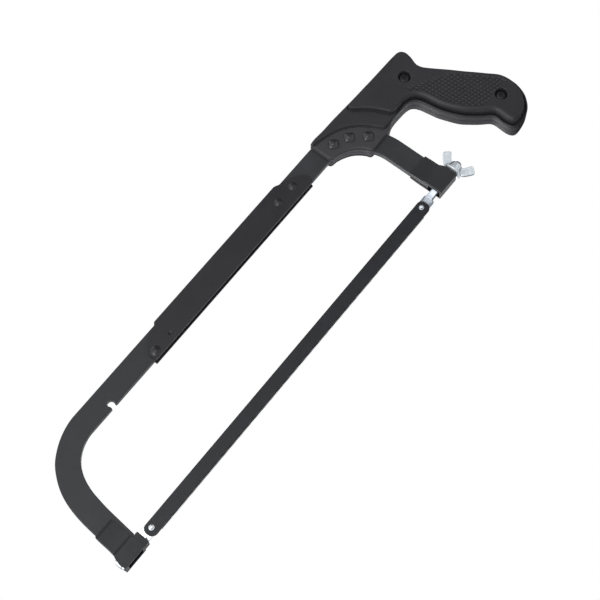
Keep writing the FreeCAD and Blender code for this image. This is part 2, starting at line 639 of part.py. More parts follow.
save(Part.Compound([handle_nut(x, z) for x, z in HANDLE_SCREWS]), "handle_nuts")
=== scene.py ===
import json
import math
from contextlib import contextmanager

import bmesh
import bpy
import numpy as np
from mathutils import Matrix, Vector
from mathutils.geometry import delaunay_2d_cdt

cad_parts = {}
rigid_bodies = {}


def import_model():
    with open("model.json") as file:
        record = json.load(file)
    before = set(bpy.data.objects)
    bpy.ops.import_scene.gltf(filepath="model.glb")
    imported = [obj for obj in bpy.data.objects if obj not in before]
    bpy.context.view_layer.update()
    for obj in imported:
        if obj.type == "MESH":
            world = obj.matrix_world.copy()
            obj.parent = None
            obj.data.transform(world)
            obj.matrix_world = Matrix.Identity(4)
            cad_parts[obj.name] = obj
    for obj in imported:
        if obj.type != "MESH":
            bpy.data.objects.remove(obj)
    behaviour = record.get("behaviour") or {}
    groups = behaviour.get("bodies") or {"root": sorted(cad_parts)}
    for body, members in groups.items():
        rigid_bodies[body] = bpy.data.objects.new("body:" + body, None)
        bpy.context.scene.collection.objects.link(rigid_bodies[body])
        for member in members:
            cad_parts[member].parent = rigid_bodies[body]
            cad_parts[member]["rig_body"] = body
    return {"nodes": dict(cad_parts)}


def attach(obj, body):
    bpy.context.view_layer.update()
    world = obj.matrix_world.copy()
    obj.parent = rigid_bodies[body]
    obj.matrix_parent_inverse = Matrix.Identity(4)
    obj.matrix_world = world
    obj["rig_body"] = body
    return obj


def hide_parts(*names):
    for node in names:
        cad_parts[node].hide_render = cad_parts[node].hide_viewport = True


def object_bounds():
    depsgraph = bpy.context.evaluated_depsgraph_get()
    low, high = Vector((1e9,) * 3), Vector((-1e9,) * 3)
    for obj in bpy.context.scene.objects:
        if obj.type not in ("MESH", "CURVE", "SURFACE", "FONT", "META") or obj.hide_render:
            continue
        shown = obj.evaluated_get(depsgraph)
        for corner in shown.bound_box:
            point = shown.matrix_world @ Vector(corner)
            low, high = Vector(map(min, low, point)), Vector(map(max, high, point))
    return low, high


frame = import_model()
cad_lo, cad_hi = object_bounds()

MILLIMETRE = 0.001
BLADE_SPAN = 300.0             # between the blade's two holes
scene = bpy.context.scene


# ============================================================================ node helpers
def scaled(colour, factor):
    return tuple(channel * factor for channel in colour)


class Nodes:
    """A short way to write node trees. Textures use one coordinate space of the owner."""

    def __init__(self, owner, space="Object"):
        owner.use_nodes = True
        self.tree = owner.node_tree
        self.tree.nodes.clear()
        self.coords = self.add("ShaderNodeTexCoord").outputs[space]

    def add(self, kind, ins=None, **props):
        node = self.tree.nodes.new(kind)
        for key, value in props.items():
            setattr(node, key, value)
        for key, value in (ins or {}).items():
            if isinstance(value, bpy.types.NodeSocket):
                self.tree.links.new(value, node.inputs[key])
            else:
                node.inputs[key].default_value = value
        return node

    def math(self, operation, first, second=0.0):
        ins = {0: first, 1: second, 2: 0.0}
        return self.add("ShaderNodeMath", ins, operation=operation).outputs[0]

    def noise(self, scale=1.0, detail=3.0, rough=0.55, distortion=0.0, stretch=None):
        """Noise; stretch gives a frequency for each axis, which draws it out into streaks."""
        coords = self.coords
        if stretch is not None:
            coords = self.add("ShaderNodeMapping", {"Vector": coords, "Scale": stretch}).outputs[0]
        ins = {"Vector": coords, "Scale": scale, "Detail": detail, "Roughness": rough,
               "Distortion": distortion}
        return self.add("ShaderNodeTexNoise", ins).outputs["Fac"]

    def ramp(self, value, start, end, low=0.0, high=1.0):
        """Smooth step from low at start to high at end."""
        ins = {"Value": value, "From Min": start, "From Max": end, "To Min": low, "To Max": high}
        return self.add("ShaderNodeMapRange", ins, interpolation_type="SMOOTHSTEP").outputs[0]

    def spread(self, noise, low=0.0, high=1.0):
        """Stretches the usual range of a noise out to low..high."""
        return self.ramp(noise, start=0.3, end=0.7, low=low, high=high)

    def mix(self, amount, under, over):
        """Mixes two colours, each a socket or three numbers."""
        under, over = (c + (1.0,) if isinstance(c, tuple) else c for c in (under, over))
        return self.add("ShaderNodeMix", {0: amount, 6: under, 7: over}, data_type="RGBA").outputs[2]

    def mottle(self, noise, base, dark, light):
        """The base colour varied between two brightness factors."""
        return self.mix(self.spread(noise), scaled(base, dark), scaled(base, light))

    def jitter(self, value, noise, amount):
        offset_noise = self.math("SUBTRACT", noise, 0.5)
        return self.math("ADD", value, self.math("MULTIPLY", offset_noise, amount))

    def bump(self, height, strength, depth_mm, over=None):
        ins = {"Height": height, "Strength": strength, "Distance": depth_mm * MILLIMETRE}
        if over is not None:
            ins["Normal"] = over
        return self.add("ShaderNodeBump", ins).outputs[0]

    def edges(self, radius_mm, start=0.02, end=0.22):
        """How much the surface turns within a radius: 1 on outer and inner edges, 0 on flats."""
        bevel = self.add("ShaderNodeBevel", {"Radius": radius_mm * MILLIMETRE}, samples=4)
        geometry = self.add("ShaderNodeNewGeometry")
        ins = {0: bevel.outputs[0], 1: geometry.outputs["Normal"]}
        dot = self.add("ShaderNodeVectorMath", ins, operation="DOT_PRODUCT")
        return self.ramp(self.math("SUBTRACT", 1.0, dot.outputs["Value"]), start, end)

    def worn_edges(self, radius_mm, start, end, **noise):
        """Edges broken up by a noise that is cut off between start and end."""
        edges = self.edges(radius_mm)
        return self.math("MULTIPLY", edges, self.ramp(self.noise(**noise), start, end))

    def specks(self, scale, start, strength):
        """Sparse small dots of dust."""
        dots = self.noise(scale=scale, detail=1.0)
        return self.ramp(dots, start=start, end=0.80, high=strength)

    def surface(self, ins):
        shader = self.add("ShaderNodeBsdfPrincipled", ins)
        self.add("ShaderNodeOutputMaterial", {0: shader.outputs[0]})


def new_material(name):
    mat = bpy.data.materials.new(name)
    return mat, Nodes(mat)


# ============================================================================ materials
def powder_coat(name, base, rough, spec=0.5, peel=0.5, wear=0.35):
    """Satin powder coat: orange peel, faint clouds, rubbed edges, fine scratches and dust."""
    worn_colour = (0.11, 0.112, 0.118)
    dust_colour = (0.16, 0.16, 0.165)
    mat, tree = new_material(name)
    cloud = tree.noise(scale=55.0, detail=5.0, rough=0.6)
    peel_height = tree.noise(scale=1500.0, rough=0.5)
    grit = tree.noise(scale=5200.0, detail=2.0, rough=0.6)
    # scratches: long thin streaks broken up by a coarse mask
    streak = dict(detail=2.0, rough=0.6, distortion=0.35)
    along_x = tree.noise(stretch=(90.0, 1200.0, 2600.0), **streak)
    along_z = tree.noise(stretch=(2300.0, 1200.0, 140.0), **streak)
    patch = tree.ramp(tree.noise(scale=90.0, detail=2.0), start=0.56, end=0.72)
    lines = tree.math("MAXIMUM", tree.ramp(along_x, start=0.705, end=0.76),
                      tree.ramp(along_z, start=0.71, end=0.765))
    scratches = tree.math("MULTIPLY", lines, patch)
    edge = tree.worn_edges(radius_mm=0.5, start=0.46, end=0.66, scale=420.0, detail=4.0, rough=0.7)
    scratch_share = 0.45       # how strongly scratches show, compared with rubbed edges
    rub = tree.math("MAXIMUM", edge, tree.math("MULTIPLY", scratches, scratch_share))
    rub = tree.math("MULTIPLY", rub, wear)
    colour = tree.mottle(cloud, base, dark=0.86, light=1.14)
    dust = tree.specks(scale=2600.0, start=0.76, strength=0.16)
    colour = tree.mix(rub, colour, worn_colour)
    colour = tree.mix(dust, colour, dust_colour)
    roughness = tree.spread(cloud, low=rough - 0.05, high=rough + 0.06)
    roughness = tree.jitter(roughness, grit, amount=0.18)
    normal = tree.bump(peel_height, strength=0.32 * peel, depth_mm=0.10)
    normal = tree.bump(grit, strength=0.22 * peel, depth_mm=0.03, over=normal)
    normal = tree.bump(scratches, strength=-0.08, depth_mm=0.02, over=normal)
    tree.surface({"Base Color": colour, "Roughness": roughness, "Normal": normal,
                  "Specular IOR Level": spec, "IOR": 1.5})
    return mat


def moulded_plastic(name, base, rough, spec, grain=1.0, wear=0.5, painted_lit_front=False):
    """Moulded plastic: fine pebbled grain, soft mottling, edges polished by handling."""
    painted_lit_front_colour = (0.033, 0.0318, 0.0368)
    polished_colour = (0.075, 0.074, 0.08)
    lint_colour = (0.18, 0.18, 0.185)
    mat, tree = new_material(name)
    mottling = tree.noise(scale=42.0, detail=4.0, rough=0.6)
    flow = tree.noise(stretch=(20.0, 60.0, 70.0), rough=0.6, distortion=0.8)
    ins = {"Vector": tree.coords, "Scale": 1900.0, "Smoothness": 0.7, "Randomness": 1.0}
    pebbles = tree.add("ShaderNodeTexVoronoi", ins, feature="SMOOTH_F1").outputs["Distance"]
    fine = tree.noise(scale=4300.0, rough=0.6)
    edge = tree.edges(radius_mm=0.7, start=0.03, end=0.3)
    uneven = tree.ramp(tree.noise(scale=160.0), start=0.35, end=0.65, low=0.4)
    shine = tree.math("MULTIPLY", edge, uneven)
    colour = tree.mottle(mottling, base, dark=0.86, light=1.16)
    flow_colour = scaled((base[0] * 1.06, base[1], base[2] * 1.12), 1.18)
    flow_strength = 0.35
    flow_amount = tree.math("MULTIPLY", tree.ramp(flow, start=0.4, end=0.65), flow_strength)
    colour = tree.mix(flow_amount, colour, flow_colour)
    if painted_lit_front:
        # painted light: the thin front part round the rivets, which tilts towards the key light, is
        # painted paler than the grip; bounds in metres
        xyz = tree.add("ShaderNodeSeparateXYZ", {0: tree.coords})
        thin = tree.ramp(tree.math("ABSOLUTE", xyz.outputs[1]), start=0.0073, end=0.0068)
        front = tree.math("MULTIPLY", thin, tree.ramp(xyz.outputs[0], start=0.340, end=0.332))
        painted_lit_front_strength = 0.9
        colour = tree.mix(tree.math("MULTIPLY", front, painted_lit_front_strength), colour, painted_lit_front_colour)
    polish = 0.28 * wear       # lightening of the handled edges
    colour = tree.mix(tree.math("MULTIPLY", shine, polish), colour, polished_colour)
    lint = tree.specks(scale=2100.0, start=0.765, strength=0.12)
    colour = tree.mix(lint, colour, lint_colour)
    gloss = 0.10 * wear        # roughness lost on the handled edges
    roughness = tree.math("SUBTRACT", tree.spread(mottling, low=rough - 0.03, high=rough + 0.05),
                          tree.math("MULTIPLY", shine, gloss))
    normal = tree.bump(pebbles, strength=0.30 * grain, depth_mm=0.07)
    normal = tree.bump(fine, strength=0.20 * grain, depth_mm=0.03, over=normal)
    tree.surface({"Base Color": colour, "Roughness": roughness, "Normal": normal,
                  "Specular IOR Level": spec, "IOR": 1.49,
                  "Sheen Weight": 0.04, "Sheen Roughness": 0.5})
    return mat


def zinc(name, tint=(0.82, 0.87, 0.91), rough=0.22, cast=0.0, turned=(350.0, 4200.0, 4200.0),
         metal=0.76, rim=0.0):
    """Bright zinc plate: bluish, faintly cloudy, with fine machining or a cast skin under it."""
    spot_colour = (0.70, 0.74, 0.80)
    painted_edge_shade_colour = (0.20, 0.23, 0.27)
    rim_colour = (0.045, 0.055, 0.068)
    mat, tree = new_material(name)
    cloud = tree.noise(scale=260.0, detail=5.0, rough=0.62)
    spot = tree.noise(scale=900.0, detail=4.0, rough=0.7)
    light_tint = scaled((tint[0] * 1.03, tint[1] * 1.02, tint[2]), 1.04)
    colour = tree.mix(tree.ramp(cloud, start=0.35, end=0.68), scaled(tint, 0.90), light_tint)
    colour = tree.mix(tree.ramp(spot, start=0.62, end=0.76, high=0.12), colour, spot_colour)
    # painted shade: the zinc is darkened on its outer edges and in its inner creases, as dark
    # outlines of shade
    painted_edge_shade_strength = 0.72
    painted_edge_shade = tree.math("MULTIPLY", tree.edges(radius_mm=0.60), painted_edge_shade_strength)
    colour = tree.mix(painted_edge_shade, colour, painted_edge_shade_colour)
    if rim > 0.0:
        # rounded edges turn away and mirror the dark side of the room
        away = tree.add("ShaderNodeLayerWeight", {"Blend": 0.5}).outputs["Facing"]
        colour = tree.mix(tree.ramp(away, start=0.30, end=0.72, high=rim), colour, rim_colour)
    roughness = tree.spread(cloud, low=rough - 0.03, high=rough + 0.05)
    roughness = tree.jitter(roughness, spot, amount=0.08)
    lines = tree.noise(stretch=turned, detail=2.0, rough=0.6)
    normal = tree.bump(lines, strength=0.10, depth_mm=0.02)
    skin = tree.noise(scale=1300.0, detail=4.0, rough=0.6)
    normal = tree.bump(skin, strength=0.05 + 0.10 * cast, depth_mm=0.03, over=normal)
    tree.surface({"Base Color": colour, "Metallic": metal, "Roughness": roughness,
                  "Normal": normal})
    return mat


def blade_finish(name):
    """Dark lacquered steel, brushed along its length, bare only on the tooth tips."""
    base = (0.0104, 0.0106, 0.0138)
    brushed_colour = (0.030, 0.031, 0.036)
    tip_colour = (0.12, 0.12, 0.13)
    edge_colour = (0.10, 0.10, 0.11)
    tip_strength, edge_strength, tip_metal = 0.45, 0.30, 0.9
    mat, tree = new_material(name)
    xyz = tree.add("ShaderNodeSeparateXYZ", {0: tree.coords})
    brush = tree.noise(stretch=(60.0, 3000.0, 5200.0), detail=4.0, rough=0.65)
    cloud = tree.noise(scale=60.0, detail=5.0, rough=0.6)
    pits = tree.noise(scale=2300.0, rough=0.6)
    colour = tree.mottle(cloud, base, dark=0.82, light=1.22)
    colour = tree.mix(tree.ramp(brush, start=0.55, end=0.78, high=0.12), colour, brushed_colour)
    tip = tree.ramp(xyz.outputs[2], start=-0.00612, end=-0.00634)      # heights in metres
    bare = tree.math("MULTIPLY", tip, tree.ramp(tree.noise(scale=500.0), start=0.42, end=0.6))
    edge = tree.worn_edges(radius_mm=0.3, start=0.5, end=0.68, scale=300.0, detail=4.0, rough=0.7)
    colour = tree.mix(tree.math("MULTIPLY", bare, tip_strength), colour, tip_colour)
    colour = tree.mix(tree.math("MULTIPLY", edge, edge_strength), colour, edge_colour)
    roughness = tree.jitter(tree.spread(cloud, low=0.38, high=0.46), brush, amount=0.10)
    normal = tree.bump(brush, strength=0.05, depth_mm=0.015)
    normal = tree.bump(pits, strength=0.03, depth_mm=0.01, over=normal)
    tree.surface({"Base Color": colour, "Metallic": tree.math("MULTIPLY", bare, tip_metal),
                  "Roughness": roughness, "Normal": normal, "Specular IOR Level": 0.40})
    return mat


def black_oxide(name):
    """Oiled black oxide on a screw."""
    dark, light = (0.007, 0.007, 0.008), (0.014, 0.014, 0.016)
    edge_colour, edge_strength = (0.05, 0.05, 0.055), 0.3
    mat, tree = new_material(name)
    cloud = tree.noise(scale=300.0, detail=5.0, rough=0.6)
    edge = tree.worn_edges(radius_mm=0.3, start=0.42, end=0.6, scale=600.0)
    colour = tree.mix(tree.spread(cloud), dark, light)
    colour = tree.mix(tree.math("MULTIPLY", edge, edge_strength), colour, edge_colour)
    roughness = tree.spread(cloud, low=0.30, high=0.44)
    normal = tree.bump(tree.noise(scale=1800.0), strength=0.25, depth_mm=0.04)
    tree.surface({"Base Color": colour, "Metallic": 0.10, "Roughness": roughness,
                  "Normal": normal})
    return mat


FRAME_PAINT = powder_coat("frame_paint_finish", base=(0.0150, 0.0155, 0.0185), rough=0.46,
                          spec=0.46)
# painted light: the rear bar gets a lighter copy of the frame paint, so that its upright leg reads
# as lit
REAR_PAINT_LIT = powder_coat("rear_bar_lit_paint_finish", base=(0.0215, 0.0220, 0.0255), rough=0.46,
                         spec=0.48)
SLEEVE_PAINT = powder_coat("sleeve_paint_finish", base=(0.0110, 0.0105, 0.0135), rough=0.44,
                           wear=0.12, spec=0.42)
RIVET_PAINT = powder_coat("rivet_paint_finish", base=(0.0130, 0.0128, 0.0155), rough=0.36,
                          peel=0.35, wear=0.5)
HOLDER_PAINT = powder_coat("holder_paint_finish", base=(0.0075, 0.0077, 0.0095), rough=0.33,
                           peel=0.3, wear=0.4, spec=0.66)
# the handle plastic carries painted light on its thin front part
PLASTIC = moulded_plastic("handle_plastic_finish", base=(0.0142, 0.0138, 0.0168), rough=0.48,
                          spec=0.47, painted_lit_front=True)
FRONT_HOLDER_PAINT = powder_coat("front_holder_paint_finish", base=(0.0068, 0.0070, 0.0088),
                                 rough=0.40, peel=0.3, wear=0.4, spec=0.40)
STUD_PLASTIC = moulded_plastic("handle_stud_finish", base=(0.0125, 0.0122, 0.0150), rough=0.24,
                               grain=0.2, wear=0.7, spec=0.7)
ZINC = zinc("zinc_finish")
# painted shade: the rear stud gets a darker copy of the same zinc plate, so that its facets read as
# shaded
ZINC_STUD_SHADED = zinc("zinc_stud_shaded_finish", tint=(0.33, 0.36, 0.40), rough=0.36, metal=0.86, rim=0.5)
ZINC_CAST = zinc("zinc_cast_finish", tint=(0.88, 0.95, 1.0), rough=0.30, cast=1.0,
                 turned=(900.0, 900.0, 900.0), metal=0.58, rim=0.88)
BLADE_STEEL = blade_finish("blade_finish")
OXIDE = black_oxide("screw_black_finish")

# CAD node -> finish, both for the node and for the piece that replaces it
FINISH = {
    "front_frame_bar": FRAME_PAINT, "rear_frame_bar": REAR_PAINT_LIT,
    "channel_sleeve": SLEEVE_PAINT, "hook_pin": RIVET_PAINT, "sleeve_rivets": RIVET_PAINT,
    "front_holder": FRONT_HOLDER_PAINT, "rear_holder": HOLDER_PAINT, "blade": BLADE_STEEL,
    "front_stud": ZINC, "front_stud_pin": ZINC, "front_blade_peg": ZINC,
    "rear_stud": ZINC_STUD_SHADED, "rear_blade_peg": ZINC, "tension_washer": ZINC,
    "wing_nut": ZINC_CAST, "left_handle_half": PLASTIC, "right_handle_half": PLASTIC,
    "handle_rivets": STUD_PLASTIC, "handle_screws": OXIDE, "handle_nuts": OXIDE,
}
for node, mat in FINISH.items():
    materials = frame["nodes"][node].data.materials
    materials.clear()
    materials.append(mat)


# ============================================================================ object helpers
@contextmanager
def editing(mesh):
    build = bmesh.new()
    build.from_mesh(mesh)
    yield build
    build.to_mesh(mesh)
    build.free()


def link(name, mesh):
    piece = bpy.data.objects.new(name, mesh)
    scene.collection.objects.link(piece)
    return piece


def mesh_object(name, verts, faces):
    """An object from millimetre vertices, its normals turned outward."""
    mesh = bpy.data.meshes.new(name)
    mesh.from_pydata([tuple(float(c) * MILLIMETRE for c in vert) for vert in verts], [],
                     [tuple(int(i) for i in face) for face in faces])
    mesh.validate(clean_customdata=True)
    with editing(mesh) as build:
        bmesh.ops.recalc_face_normals(build, faces=build.faces)
    return link(name, mesh)


def discard(piece):
    mesh = piece.data
    bpy.data.objects.remove(piece)
    if mesh.users == 0:
        bpy.data.meshes.remove(mesh)


def take_evaluated(piece):
    """The mesh with all modifiers applied; the modifiers are removed."""
    graph = bpy.context.evaluated_depsgraph_get()
    graph.update()
    mesh = bpy.data.meshes.new_from_object(piece.evaluated_get(graph))
    piece.modifiers.clear()
    return mesh


def swap_mesh(piece, mesh):
    old = piece.data
    piece.data = mesh
    if old.users == 0:
        bpy.data.meshes.remove(old)


def boolean(piece, tool, operation="DIFFERENCE"):
    """Cuts or joins with the tool, which is used up. EXACT steps in if MANIFOLD does nothing."""
    before = len(piece.data.vertices)
    for solver in ("MANIFOLD", "EXACT"):
        modifier = piece.modifiers.new("cut", "BOOLEAN")
        modifier.operation = operation
        modifier.solver = solver
        modifier.object = tool
        mesh = take_evaluated(piece)
        if len(mesh.vertices) > 3 and (len(mesh.vertices) != before or solver == "EXACT"):
            swap_mesh(piece, mesh)
            break
        bpy.data.meshes.remove(mesh)
    discard(tool)


def place(piece, node, angle, name=None, body=None):
    """Finishes a piece that stands for a CAD node; edges sharper than angle degrees stay sharp."""
    mesh = piece.data
    mesh.materials.clear()
    mesh.materials.append(FINISH[node])
    mesh.polygons.foreach_set("material_index", [0] * len(mesh.polygons))
    mesh.polygons.foreach_set("use_smooth", [True] * len(mesh.polygons))
    mesh.set_sharp_from_angle(angle=math.radians(angle))
    if name:
        piece.name = name
        mesh.name = name
    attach(piece, body or frame["nodes"][node]["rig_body"])
    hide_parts(node)


def cad_copy(node, suffix, rounding=None):
    """A CAD node's solid, welded. rounding is (radius, segments, least edge angle in degrees)."""
    build = bmesh.new()
    build.from_mesh(frame["nodes"][node].data)
    bmesh.ops.remove_doubles(build, verts=build.verts, dist=2e-6)
    if rounding:
        radius, segments, least_angle = rounding
        bmesh.ops.dissolve_limit(build, angle_limit=math.radians(0.4), verts=build.verts,
                                 edges=build.edges, use_dissolve_boundaries=False)
        sharp = [edge for edge in build.edges if len(edge.link_faces) == 2
                 and edge.calc_face_angle(0.0) > math.radians(least_angle)]
        bmesh.ops.bevel(build, geom=sharp, offset=radius * MILLIMETRE, segments=segments,
                        profile=0.5, affect="EDGES", clamp_overlap=True, miter_outer="ARC")
    bmesh.ops.recalc_face_normals(build, faces=build.faces)
    mesh = bpy.data.meshes.new(node + suffix)
    build.to_mesh(mesh)
    build.free()
    return link(node + suffix, mesh)


# ============================================================================ outline helpers
def closed_spline(points, spacing):
    """Periodic cubic spline through the points, by chord length, sampled about every spacing."""
    knots = np.array(points, float)
    count = len(knots)
    chords = np.linalg.norm(np.roll(knots, -1, 0) - knots, axis=1)
    system = np.zeros((count, count))
    target = np.zeros((count, 2))
    for i in range(count):
        before, after = chords[i - 1], chords[i]
        j = (i + 1) % count
        system[i, (i - 1) % count] += before
        system[i, i] += 2 * (before + after)
        system[i, j] += after
        target[i] = 6 * ((knots[j] - knots[i]) / after - (knots[i] - knots[i - 1]) / before)
    bend = np.linalg.solve(system, target)
    samples = []
    for i in range(count):
        j = (i + 1) % count
        chord = chords[i]
        pieces = max(2, int(round(chord / spacing)))
        for k in range(pieces):
            done = k / pieces * chord
            left = chord - done
            samples.append((bend[i] * left ** 3 + bend[j] * done ** 3) / (6 * chord)
                           + (knots[i] / chord - bend[i] * chord / 6) * left
                           + (knots[j] / chord - bend[j] * chord / 6) * done)
    return np.array(samples)


def ccw(outline):
    """The outline, counter-clockwise in the XZ plane drawn with X right and Z up."""
    x, z = outline[:, 0], outline[:, 1]
    doubled_area = np.sum(x * np.roll(z, -1) - np.roll(x, -1) * z)
    return outline if doubled_area > 0 else outline[::-1].copy()


def offset(outline, distance):
    """Moves a counter-clockwise closed outline outward (inward if negative)."""
    tangent = np.roll(outline, -1, 0) - np.roll(outline, 1, 0)
    tangent /= np.linalg.norm(tangent, axis=1)[:, None]
    return outline + np.stack([tangent[:, 1], -tangent[:, 0]], 1) * distance


def inside(points, outline):
    x, z = points[:, 0], points[:, 1]
    result = np.zeros(len(points), bool)
    for (x0, z0), (x1, z1) in zip(outline, np.roll(outline, -1, 0)):
        crosses = (z0 > z) != (z1 > z)
        if crosses.any():
            result ^= crosses & (x < (x1 - x0) * (z - z0) / (z1 - z0 + 1e-30) + x0)
    return result


def line_distance(points, line, closed=True):
    start = line if closed else line[:-1]
    end = np.roll(line, -1, 0) if closed else line[1:]
    run = end - start
    length_squared = (run ** 2).sum(1) + 1e-18
    nearest = np.full(len(points), 1e9)
    batch = 4000               # keeps the arrays small
    for first in range(0, len(points), batch):
        away = points[first:first + batch][:, None, :] - start[None]
        along = np.clip((away * run[None]).sum(2) / length_squared[None], 0, 1)
        gap = away - along[..., None] * run[None]
        nearest[first:first + batch] = np.sqrt((gap ** 2).sum(2).min(1))
    return nearest


def depth_inside(points, outline):
    """Distance from the outline, positive inside it."""
    distance = line_distance(points, outline)
    return np.where(inside(points, outline), distance, -distance)


def rounded(depth, top, radius):
    """Height of a flat top with a rounded edge, at a depth inside the edge."""
    short = np.clip(radius - depth, 0, radius)
    return top - radius + np.sqrt(np.maximum(radius * radius - short * short, 0))


def rise(value, start, end):
    """Smooth step from 0 at start to 1 at end."""
    part = np.clip((value - start) / (end - start), 0, 1)
    return part * part * (3 - 2 * part)


def triangulate(points, border, edges=(), epsilon=1e-7):
    """Triangles inside the loop made by the first border points, keeping the given edges."""
    result = delaunay_2d_cdt([Vector((float(x), float(z))) for x, z in points], list(edges),
                             [list(range(border))], 1, epsilon)
    return (np.array([(p[0], p[1]) for p in result[0]]),
            [tuple(face) for face in result[2] if len(face) == 3])


def cap_faces(outline):
    """Triangles over an outline, or one polygon if triangulating would change its points."""
    count = len(outline)
    plan, triangles = triangulate(outline, count)
    return triangles if len(plan) == count else [tuple(range(count))]


def open_edges(triangles):
    """The edges used by one triangle only, in its direction."""
    directed = [(t[i], t[(i + 1) % 3]) for t in triangles for i in range(3)]
    uses = {}
    for a, b in directed:
        key = (min(a, b), max(a, b))
        uses[key] = uses.get(key, 0) + 1
    return [(a, b) for a, b in directed if uses[(min(a, b), max(a, b))] == 1]


# ============================================================================ solid helpers
def band(first, second, count):
    """Quads between two rings that start at the given vertex numbers."""
    return [(first + i, first + (i + 1) % count, second + (i + 1) % count, second + i)
            for i in range(count)]


def prism(name, outline, y0, y1):
    count = len(outline)
    verts = [(x, y, z) for y in (y0, y1) for x, z in outline]
    cap = cap_faces(outline)
    faces = band(0, count, count) + cap + [tuple(i + count for i in face) for face in cap]
    return mesh_object(name, verts, faces)


def cross_axes(axis):
    """Two unit vectors square to the axis."""
    helper = [0, 0, 1.0] if abs(axis[2]) < 0.9 else [1.0, 0, 0]
    side = np.cross(axis, helper)
    side /= np.linalg.norm(side)
    return side, np.cross(axis, side)


def cylinder(name, start, end, radius, count=64):
    start, end = np.array(start, float), np.array(end, float)
    side, other = cross_axes((end - start) / np.linalg.norm(end - start))
    turn = np.arange(count) * 2 * math.pi / count
    ring = np.cos(turn)[:, None] * side + np.sin(turn)[:, None] * other
    verts = np.vstack([start + ring * radius, end + ring * radius])
    caps = [tuple(range(count)), tuple(range(2 * count - 1, count - 1, -1))]
    return mesh_object(name, verts, band(0, count, count) + caps)


def lathe(name, profile, origin, axis, count):
    """Turns a (distance along axis, radius) profile; it is closed only where it meets the axis."""
    axis = np.array(axis, float)
    side, other = cross_axes(axis)
    origin = np.array(origin, float)
    verts, faces, rows = [], [], []
    for along, radius in profile:
        centre = origin + axis * along
        if radius < 1e-6:
            rows.append([len(verts)])
            verts.append(centre)
            continue
        rows.append(list(range(len(verts), len(verts) + count)))
        for i in range(count):
            turn = 2 * math.pi * i / count
            verts.append(centre + (side * math.cos(turn) + other * math.sin(turn)) * radius)
    for row, following in zip(rows, rows[1:]):
        for i in range(count):
            j = (i + 1) % count
            if len(row) == 1:
                faces.append((row[0], following[i], following[j]))
            elif len(following) == 1:
                faces.append((row[i], row[j], following[0]))
            else:
                faces.append((row[i], row[j], following[j], following[i]))
    return mesh_object(name, verts, faces)


def ring_solid(name, rows):
    """Closes a stack of rings, each an (n, 3) array, between two end points."""
    count = len(rows[1])
    verts = [tuple(rows[0])]
    starts = []
    for ring in rows[1:-1]:
        starts.append(len(verts))
        verts.extend(tuple(point) for point in ring)
    last = len(verts)
    verts.append(tuple(rows[-1]))
    first, final = starts[0], starts[-1]
    faces = [(0, first + i, first + (i + 1) % count) for i in range(count)]
    for a, b in zip(starts, starts[1:]):
        faces += [(a + i, b + i, b + (i + 1) % count, a + (i + 1) % count) for i in range(count)]
    faces += [(last, final + (i + 1) % count, final + i) for i in range(count)]
    return mesh_object(name, verts, faces)


# ============================================================================ handle outlines
# Each outline is a closed list of (x, z).
# the whole handle
CORE = [
    (289.2, 92.6), (300.0, 92.5), (312.0, 92.2), (328.0, 91.5), (351.0, 90.6), (373.0, 90.1),
    (384.1, 89.8), (389.1, 89.0), (392.1, 86.7), (393.0, 83.0), (392.5, 79.0), (391.0, 75.0),
    (390.1, 71.2), (390.5, 67.3), (392.7, 63.1), (395.9, 58.1), (401.3, 49.5), (406.4, 41.1),
    (411.8, 32.5), (417.1, 24.1), (419.8, 19.7), (421.5, 15.3), (422.2, 10.8), (422.3, 6.4),
    (421.7, 2.1), (420.4, -2.1), (418.6, -6.0), (416.1, -9.4), (412.7, -12.8), (408.4, -15.5),
    (403.6, -17.0), (399.0, -17.7), (395.3, -17.9), (391.7, -17.0), (389.7, -14.0),
    (389.2, -10.0), (389.4, -5.0), (389.5, -1.0), (388.8, 1.8), (386.3, 4.9), (382.3, 9.3),
    (378.7, 14.0), (375.4, 18.6), (373.1, 23.2), (371.3, 27.9), (369.7, 32.4), (368.4, 36.9),
    (367.7, 41.0), (367.0, 45.0), (366.3, 48.9), (365.2, 52.4), (363.2, 55.4), (359.6, 57.1),
    (354.0, 57.7), (347.0, 57.9), (341.5, 57.5), (338.0, 56.6), (335.4, 55.3), (332.6, 54.5),
    (328.0, 54.4), (320.0, 54.4), (314.0, 54.4), (312.4, 55.0), (311.4, 57.2), (309.3, 61.2),
    (306.0, 65.3), (301.8, 68.6), (297.2, 71.0), (292.5, 72.5), (289.8, 72.9), (288.2, 74.1),
    (287.8, 76.2), (287.8, 83.0), (287.9, 90.4), (288.3, 92.3),
]
# the raised panel of the grip
PANEL = [
    (330.4, 89.5), (334.0, 89.6), (342.0, 89.4), (351.0, 89.1), (373.0, 88.6), (383.6, 88.2),
    (388.3, 87.0), (390.6, 83.0), (390.1, 79.2), (388.5, 75.2), (387.6, 71.2), (388.1, 66.7),
    (390.4, 62.1), (393.7, 56.8), (399.2, 48.2), (404.2, 39.8), (409.6, 31.3), (414.8, 22.9),
    (417.4, 18.7), (418.9, 14.7), (419.5, 10.5), (419.5, 6.4), (418.7, 2.6), (417.3, -0.8),
    (415.6, -4.3), (413.4, -7.3), (410.6, -10.2), (407.0, -12.8), (403.1, -14.3),
    (398.8, -15.0), (395.8, -15.0), (393.3, -13.6), (392.3, -11.0), (391.9, -8.0),
    (392.2, -4.0), (392.3, -1.0), (391.8, 2.0), (390.2, 4.9), (386.1, 9.3), (382.0, 14.3),
    (378.6, 19.2), (376.1, 24.1), (374.1, 28.9), (372.5, 33.5), (371.3, 37.9), (370.7, 42.0),
    (370.2, 46.0), (369.4, 50.1), (367.7, 54.5), (364.6, 58.1), (360.0, 60.0), (354.0, 60.4),
    (347.4, 60.4), (344.2, 61.3), (342.7, 63.9), (340.5, 69.0), (336.7, 75.6), (332.0, 81.6),
    (329.0, 85.4), (328.4, 87.9),
]
